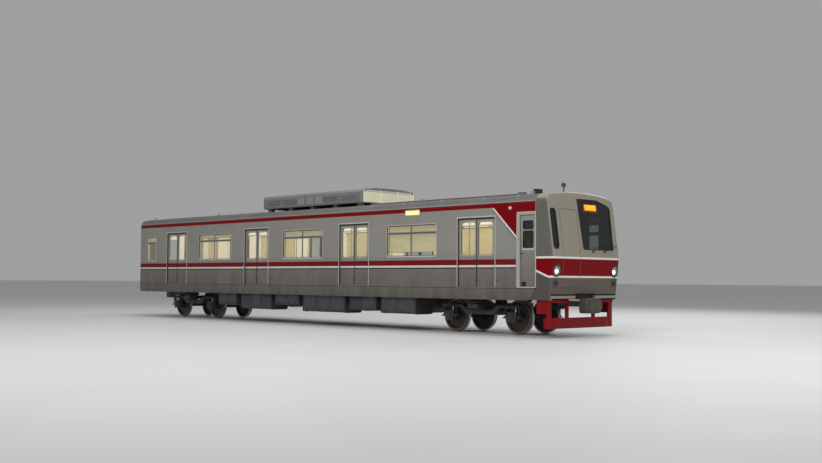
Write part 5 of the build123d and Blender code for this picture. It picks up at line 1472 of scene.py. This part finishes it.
def underfloor_trim(piece):
    """Lids with hinges and catches, grilles and frames of the boxes under the floor."""
    place = on_side(BOX_FACE)
    for sign, rows in BOX_ROWS.items():
        piece.sides = (sign,)
        for start, end, deep, vented in rows:
            x = (start * EQUIPMENT_HALF, end * EQUIPMENT_HALF)
            z = (MEMBER_Z - deep, MEMBER_Z)
            piece.ring(rectangle(x, z, 0.01), place, -0.035, -0.004, -0.001, 0.01, "box")
            for k, part in enumerate(shares(grow(x, -0.04), 0.585, 0.012)):
                if vented and k % 2 == 0:
                    grille = (z[0] + 0.08, z[1] - 0.09)
                    louvre(piece, place, grow(part, -0.02), grille, 10, "dark", "box_trim")
                else:
                    box_lid(piece, place, part, grow(z, -0.05))
            for foot in grow(x, -0.06):
                piece.box(near(foot, 0.025), (0.66, 1.2), span(z[0], -0.012, 0.002), "box_trim", 0.004)


def box_lid(piece, place, x, z):
    """A raised lid with two hinges above and two catches below."""
    piece.plate(rectangle(x, z, 0.03), place, -0.001, 0.012, "box_trim")
    bead = rectangle(grow(x, -0.05), grow(z, -0.05), 0.02)
    piece.ring(bead, place, -0.012, 0.0, 0.011, 0.016, "box_trim")
    for share in (0.22, 0.78):
        middle = x[0] + (x[1] - x[0]) * share
        hinge = [(end, BOX_FACE + 0.014, z[1] + 0.004) for end in near(middle, 0.035)]
        piece.tube(hinge, 0.009, "steel_dark")
        catch = span(z[0], 0.004, 0.052)
        piece.box(near(middle, 0.016), span(BOX_FACE, 0.01, 0.026), catch, "steel_dark", 0.004)


def pipework(piece):
    """Air pipes and cable trunks along the middle, with their clamps."""
    for y, z, radius in PIPES:
        piece.tube([(x, y, z) for x in near(0, EQUIPMENT_HALF)], radius, "steel_dark")
        for k in range(11):
            clamp = (z - radius - 0.006, MEMBER_Z + 0.002)
            piece.box(near(-4.75 + 0.95 * k, 0.015), near(y, radius + 0.006), clamp, "black", 0.003)
    piece.box((-4.85, 4.85), (0.47, 0.6), (0.945, MEMBER_Z), "black", 0.006)


# Running gear
COIL_OFF = 0.21
BEARING_Y = 0.93
DAMPER_Y = 0.905


def helix(x, y, low, high, radius, turns, steps=14):
    """Points of a coil about an upright axis, with its ends closed flat."""
    count = int(turns * steps)
    made = []
    for k in range(count + 1):
        turned = turns * k / count
        rise = min(1.0, max(0.0, (turned - 0.6) / (turns - 1.2)))
        turn = 2 * pi * turned
        made.append((x + radius * cos(turn), y + radius * sin(turn), low + (high - low) * rise))
    return made


def air_bag(piece, x, y):
    """A rubber bag with two waves between steel plates."""
    low, high = up(0.762, 0.952)
    profile = [(0.004, 0.16), (0.01, 0.205), (0.028, 0.238), (0.052, 0.249), (0.076, 0.238), (0.092, 0.214),
               (0.098, 0.21), (0.104, 0.214), (0.12, 0.236), (0.142, 0.246), (0.164, 0.232), (0.178, 0.2),
               (0.184, 0.16)]
    piece.lathe((x, y, low), UP, profile, "rubber", 48)
    for z, thick in ((low, 0.008), (high - 0.01, 0.01)):
        plate = [(0, 0.19), (0.002, 0.196), (thick - 0.002, 0.196), (thick, 0.19)]
        piece.lathe((x, y, z), UP, plate, "bogie", 40)
    hoop = [(u, v, low + 0.098) for u, v in circle(x, y, 0.212)]
    piece.tube(hoop, 0.007, "steel_dark", 8, closed=True)


def springs(end, body, way):
    """Coil springs over the axle boxes and air bags under the body, in place of their plain stand-ins.

    All coils turn the same way, so they aren't mirrored."""
    piece = Piece(f"{end}_spring_set", body)
    low, high = up(0.4305, 0.6595)
    for axle in near(way * BOGIE_X, AXLE_OFF):
        for x in near(axle, COIL_OFF):
            for y in (-0.82, 0.82):
                piece.tube(helix(x, y, low + 0.022, high - 0.022, 0.052, 5.2), 0.0115, "coil", 8)
                piece.tube(helix(x, y, low + 0.018, high - 0.018, 0.028, 7.0, 10), 0.007, "coil", 6)
                for z in (low, high - 0.012):
                    piece.lathe((x, y, z), UP, [(0, 0.066), (0.01, 0.066), (0.012, 0.063)], "bogie", 28)
    piece.sides = BOTH
    air_bag(piece, way * BOGIE_X, 0.93)
    piece.smooth = 50
    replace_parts(piece.done(), f"springs_{end}")


def bogie_trim(end, body, way):
    """Bearing caps with their bolts, dampers and brake pipes of a bogie."""
    piece = Piece(f"{end}_bogie_trim", body, BOTH)
    middle = way * BOGIE_X
    cap = [(-0.001, 0.04), (0.008, 0.038), (0.012, 0.024)]
    bolt = [(-0.001, 0.012), (0.008, 0.012), (0.011, 0.007)]
    for x in near(middle, AXLE_OFF):
        piece.lathe((x, BEARING_Y, AXLE_Z), OUT, cap, "bogie", 24)
        for u, v in circle(x, AXLE_Z, 0.072, 6, pi / 6):
            piece.lathe((u, BEARING_Y, v), OUT, bolt, "steel_dark", 6)
        foot = x + 0.165
        piece.tube([(foot, DAMPER_Y, z) for z in up(0.43, 0.57)], 0.024, "bogie", 14)
        piece.tube([(foot, DAMPER_Y, z) for z in up(0.56, 0.675)], 0.015, "chrome", 12)
        for bracket in (up(0.665, 0.7), up(0.415, 0.44)):
            piece.box(near(foot, 0.03), (0.872, 0.925), bracket, "bogie", 0.005)
    low, high = up(0.6, 0.715)
    run = ((-1.2, high), (-0.62, high), (-0.4, low), (0.4, low), (0.62, high), (1.2, high))
    piece.tube(curve_points([(middle + dx, 0.888, z) for dx, z in run], 6), 0.009, "steel_dark", 8)
    for dx, z in ((-1, high), (-0.7, high), (-0.2, low), (0.2, low), (0.7, high), (1, high)):
        piece.box(near(middle + dx, 0.012), (0.878, 0.9), near(z, 0.016), "steel_dark", 0.003)
    piece.done()


def wheel_trim(number):
    """Bolt rings on the hubs and the sound-damping ring in each web."""
    piece = Piece(f"wheelset_{number}_trim", f"wheelset_{number}", BOTH)
    x = sum(corner.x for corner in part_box(f"wheelset_{number}")) / 2
    bolt = [(-0.001, 0.01), (0.007, 0.01), (0.01, 0.006)]
    for u, v in circle(x, AXLE_Z, 0.098, 10):
        piece.lathe((u, 0.6495, v), OUT, bolt, "steel_dark", 6)
    hoop = [(u, 0.6135, v) for u, v in circle(x, AXLE_Z, 0.345, 48)]
    piece.tube(hoop, 0.006, "steel_dark", 6, closed=True)
    piece.done()


# Ends
def coupler_front_trim(piece):
    """The bolts, the dark steel ring round the mouth and the latch lever of the front coupler's head."""
    z = up(0.8)
    for bolt in span(z, -0.135, 0.055):
        piece.lathe((9.9995, 0.205, bolt), AHEAD, [(-0.01, 0.02), (-0.001, 0.02)], "steel_dark", 6)
    piece.sides = ONE
    mouth = rectangle((-0.2, 0.2), span(z, -0.13, 0.06), 0.05)
    piece.ring(mouth, facing_ahead(10.0), -0.014, 0.0, -0.004, -0.0006, "steel_dark")
    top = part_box("coupler_front")[1].z
    lever = [(9.7, 0.1, top - 0.004), (9.7, 0.1, top), (9.74, 0.1, top)]
    piece.tube(curve_points(lever, 3), 0.01, "steel_dark", 8)


def gangway_trim(piece):
    """Ribs of the bellows' folds, the foot plate, and rails and lamps on the end wall."""
    low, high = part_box("gangway_bellows")
    for k in range(3):
        rib = rectangle((-0.558, 0.558), (low.z + 0.002, high.z - 0.002), 0.12)
        x = low.x + 0.02 + 0.08 * k
        piece.tube([(x, u, v) for u, v in rib], 0.004, "rubber_rib", 6, closed=True)
    piece.box((-9.98, -9.705), (-0.38, 0.38), near(FLOOR, 0.006), "steel", 0.004)
    for k in range(9):
        rib = span(-9.97 + 0.03 * k, 0, 0.012)
        piece.box(rib, (-0.36, 0.36), span(FLOOR, 0.005, 0.009), "steel", 0.001)
    piece.sides = BOTH
    rail = ((-9.748, 1.35), (-9.8, 1.36), (-9.8, 2.14), (-9.748, 2.15))
    piece.tube(curve_points([(x, 0.8, up(z)) for x, z in rail], 6), 0.013, "frame")
    piece.box((-9.8, -9.752), (0.72, 1.0), up(1.02, 1.18), "black", 0.012)
    socket = [(0, 0.052), (0.022, 0.052), (0.028, 0.04)]
    piece.lathe((-9.8, 0.86, up(1.1)), BACK, socket, "steel_dark", 24)
    lamp_z = up(3.02)
    lamp = [(0, 0.06), (0.014, 0.06), (0.02, 0.05)]
    piece.lathe((-9.749, 1.1, lamp_z), BACK, lamp, "frame", 28)
    lens = [(0, 0.046), (0.006, 0.04), (0.01, 0.018)]
    piece.lathe((-9.768, 1.1, lamp_z), BACK, lens, "lens_red", 24)


def guard_trim(piece):
    """Bolts and wear strip of the front guard."""
    flat, swept, post = 9.5605, 9.517643, 1.268
    low, high, top = up(0.28, 0.38, 0.855)
    bolt = [(-0.002, 0.014), (0.008, 0.013), (0.011, 0.008)]
    holes = ((flat, 0.55, low), (flat, 0.55, high), (swept, post, low), (swept, post, high),
             (flat, post, top))
    for x, y, z in holes:
        for side in near(y, 0.03):
            piece.lathe((x, side, z), AHEAD, bolt, "steel_dark", 6)
    piece.box((9.545, 9.5645), (0.02, 1.06), up(0.2, 0.222), "steel_dark", 0.003)


# The stage, the lights and the camera
CAMERA_AT = (25.399, -21.453, 1.4096)
CAMERA_YAW = radians(45.748)
CAMERA_PITCH = radians(2.648)
CAMERA_ROLL = radians(0.3905)
FOCAL_PIXELS = 1040.98
IMAGE_WIDTH = 822
SENSOR_WIDTH = 36
FLOOR_HALF = 400
LIGHTS = (                              # name, place, target, size, power
    ("key", (12, -20, 16), (1, 0, 1.5), (14, 8), 2500),
    ("front_fill", (26, -2, 7), (9, 0, 1.5), (7, 7), 720),
    ("left_fill", (4, 20, 14), (0, 0, 1.5), (16, 8), 1700),
    ("top", (0, 0, 18), (0, 0, 0), (26, 8), 1500))


def camera():
    """The photograph's view, fitted to the car's edges."""
    yaw, pitch = CAMERA_YAW, CAMERA_PITCH
    ahead = Vector((-sin(yaw) * cos(pitch), cos(yaw) * cos(pitch), sin(pitch)))
    level = Vector((cos(yaw), sin(yaw), 0))
    above = level.cross(ahead)
    right = level * cos(CAMERA_ROLL) + above * sin(CAMERA_ROLL)
    upwards = above * cos(CAMERA_ROLL) - level * sin(CAMERA_ROLL)
    data = bpy.data.cameras.new("camera")
    data.sensor_fit = "HORIZONTAL"
    data.sensor_width = SENSOR_WIDTH
    data.lens = FOCAL_PIXELS * SENSOR_WIDTH / IMAGE_WIDTH
    data.clip_start = 0.1
    data.clip_end = 900
    made = bpy.data.objects.new("camera", data)
    turn = Matrix((right, upwards, -ahead)).transposed()
    made.matrix_world = Matrix.Translation(CAMERA_AT) @ turn.to_4x4()
    bpy.context.scene.collection.objects.link(made)
    bpy.context.scene.camera = made


def area_light(name, place, target, size, power):
    """A soft white light that looks at its target."""
    data = bpy.data.lights.new(name, "AREA")
    data.shape = "RECTANGLE"
    data.size, data.size_y = size
    data.energy = power
    light = bpy.data.objects.new(name, data)
    light.location = place
    light.rotation_euler = (Vector(target) - Vector(place)).to_track_quat("-Z", "Y").to_euler()
    bpy.context.scene.collection.objects.link(light)


def stage():
    """A pale floor that runs far out, soft lights over the car, and a pale sky."""
    mesh = bpy.data.meshes.new("studio_floor")
    corners = rectangle(near(0, FLOOR_HALF), near(0, FLOOR_HALF))
    mesh.from_pydata([(x, y, 0) for x, y in corners], [], [(0, 1, 2, 3)])
    g = Graph("floor_pale")
    cloud = g.noise(0.5, 3.0)
    mesh.materials.append(g.finish(g.mix(cloud, srgb(206, 206, 206), srgb(214, 214, 214)), 0.6, 0.0))
    floor = bpy.data.objects.new("studio_floor", mesh)
    bpy.context.scene.collection.objects.link(floor)
    for light in LIGHTS:
        area_light(*light)
    world = bpy.data.worlds.new("studio")
    bpy.context.scene.world = world
    world.use_nodes = True
    background = world.node_tree.nodes["Background"]
    background.inputs["Color"].default_value = srgb(228, 228, 228)
    background.inputs["Strength"].default_value = 0.45


dress_nodes()
build(BOTH, gutters, window_trim, doorway_trim)
for side, sign in SIDES:
    leaf_trim(side, sign, "forward", 1)
    leaf_trim(side, sign, "rearward", -1)
    cab_door_trim(side, sign)
build(BOTH, cab_frame_trim, marker_lamps, sign_frames, skirt_trim)
build(ONE, front_trim)
build(BOTH, lamp_trim)
build(ONE, wipers, front_sign, front_fittings, roof_seams)
build(BOTH, roof_unit_trim, roof_fittings, ceiling_lights, lining_trim, heater_grilles, rail_fittings)
saloon_blinds()
night_blinds()
saloon_cushions()
driver_pads()
build(ONE, desk_fittings, cab_fittings, driver_seat_fittings, underfloor_trim, pipework)
for end, body, way in (("front", "front_bogie", 1), ("rear", "rear_bogie", -1)):
    springs(end, body, way)
    bogie_trim(end, body, way)
for number in range(1, 5):
    wheel_trim(number)
build(BOTH, coupler_front_trim, body="coupler_front")
build(ONE, gangway_trim)
build(BOTH, guard_trim)
camera()
stage()
bpy.context.scene.view_settings.view_transform = "Standard"
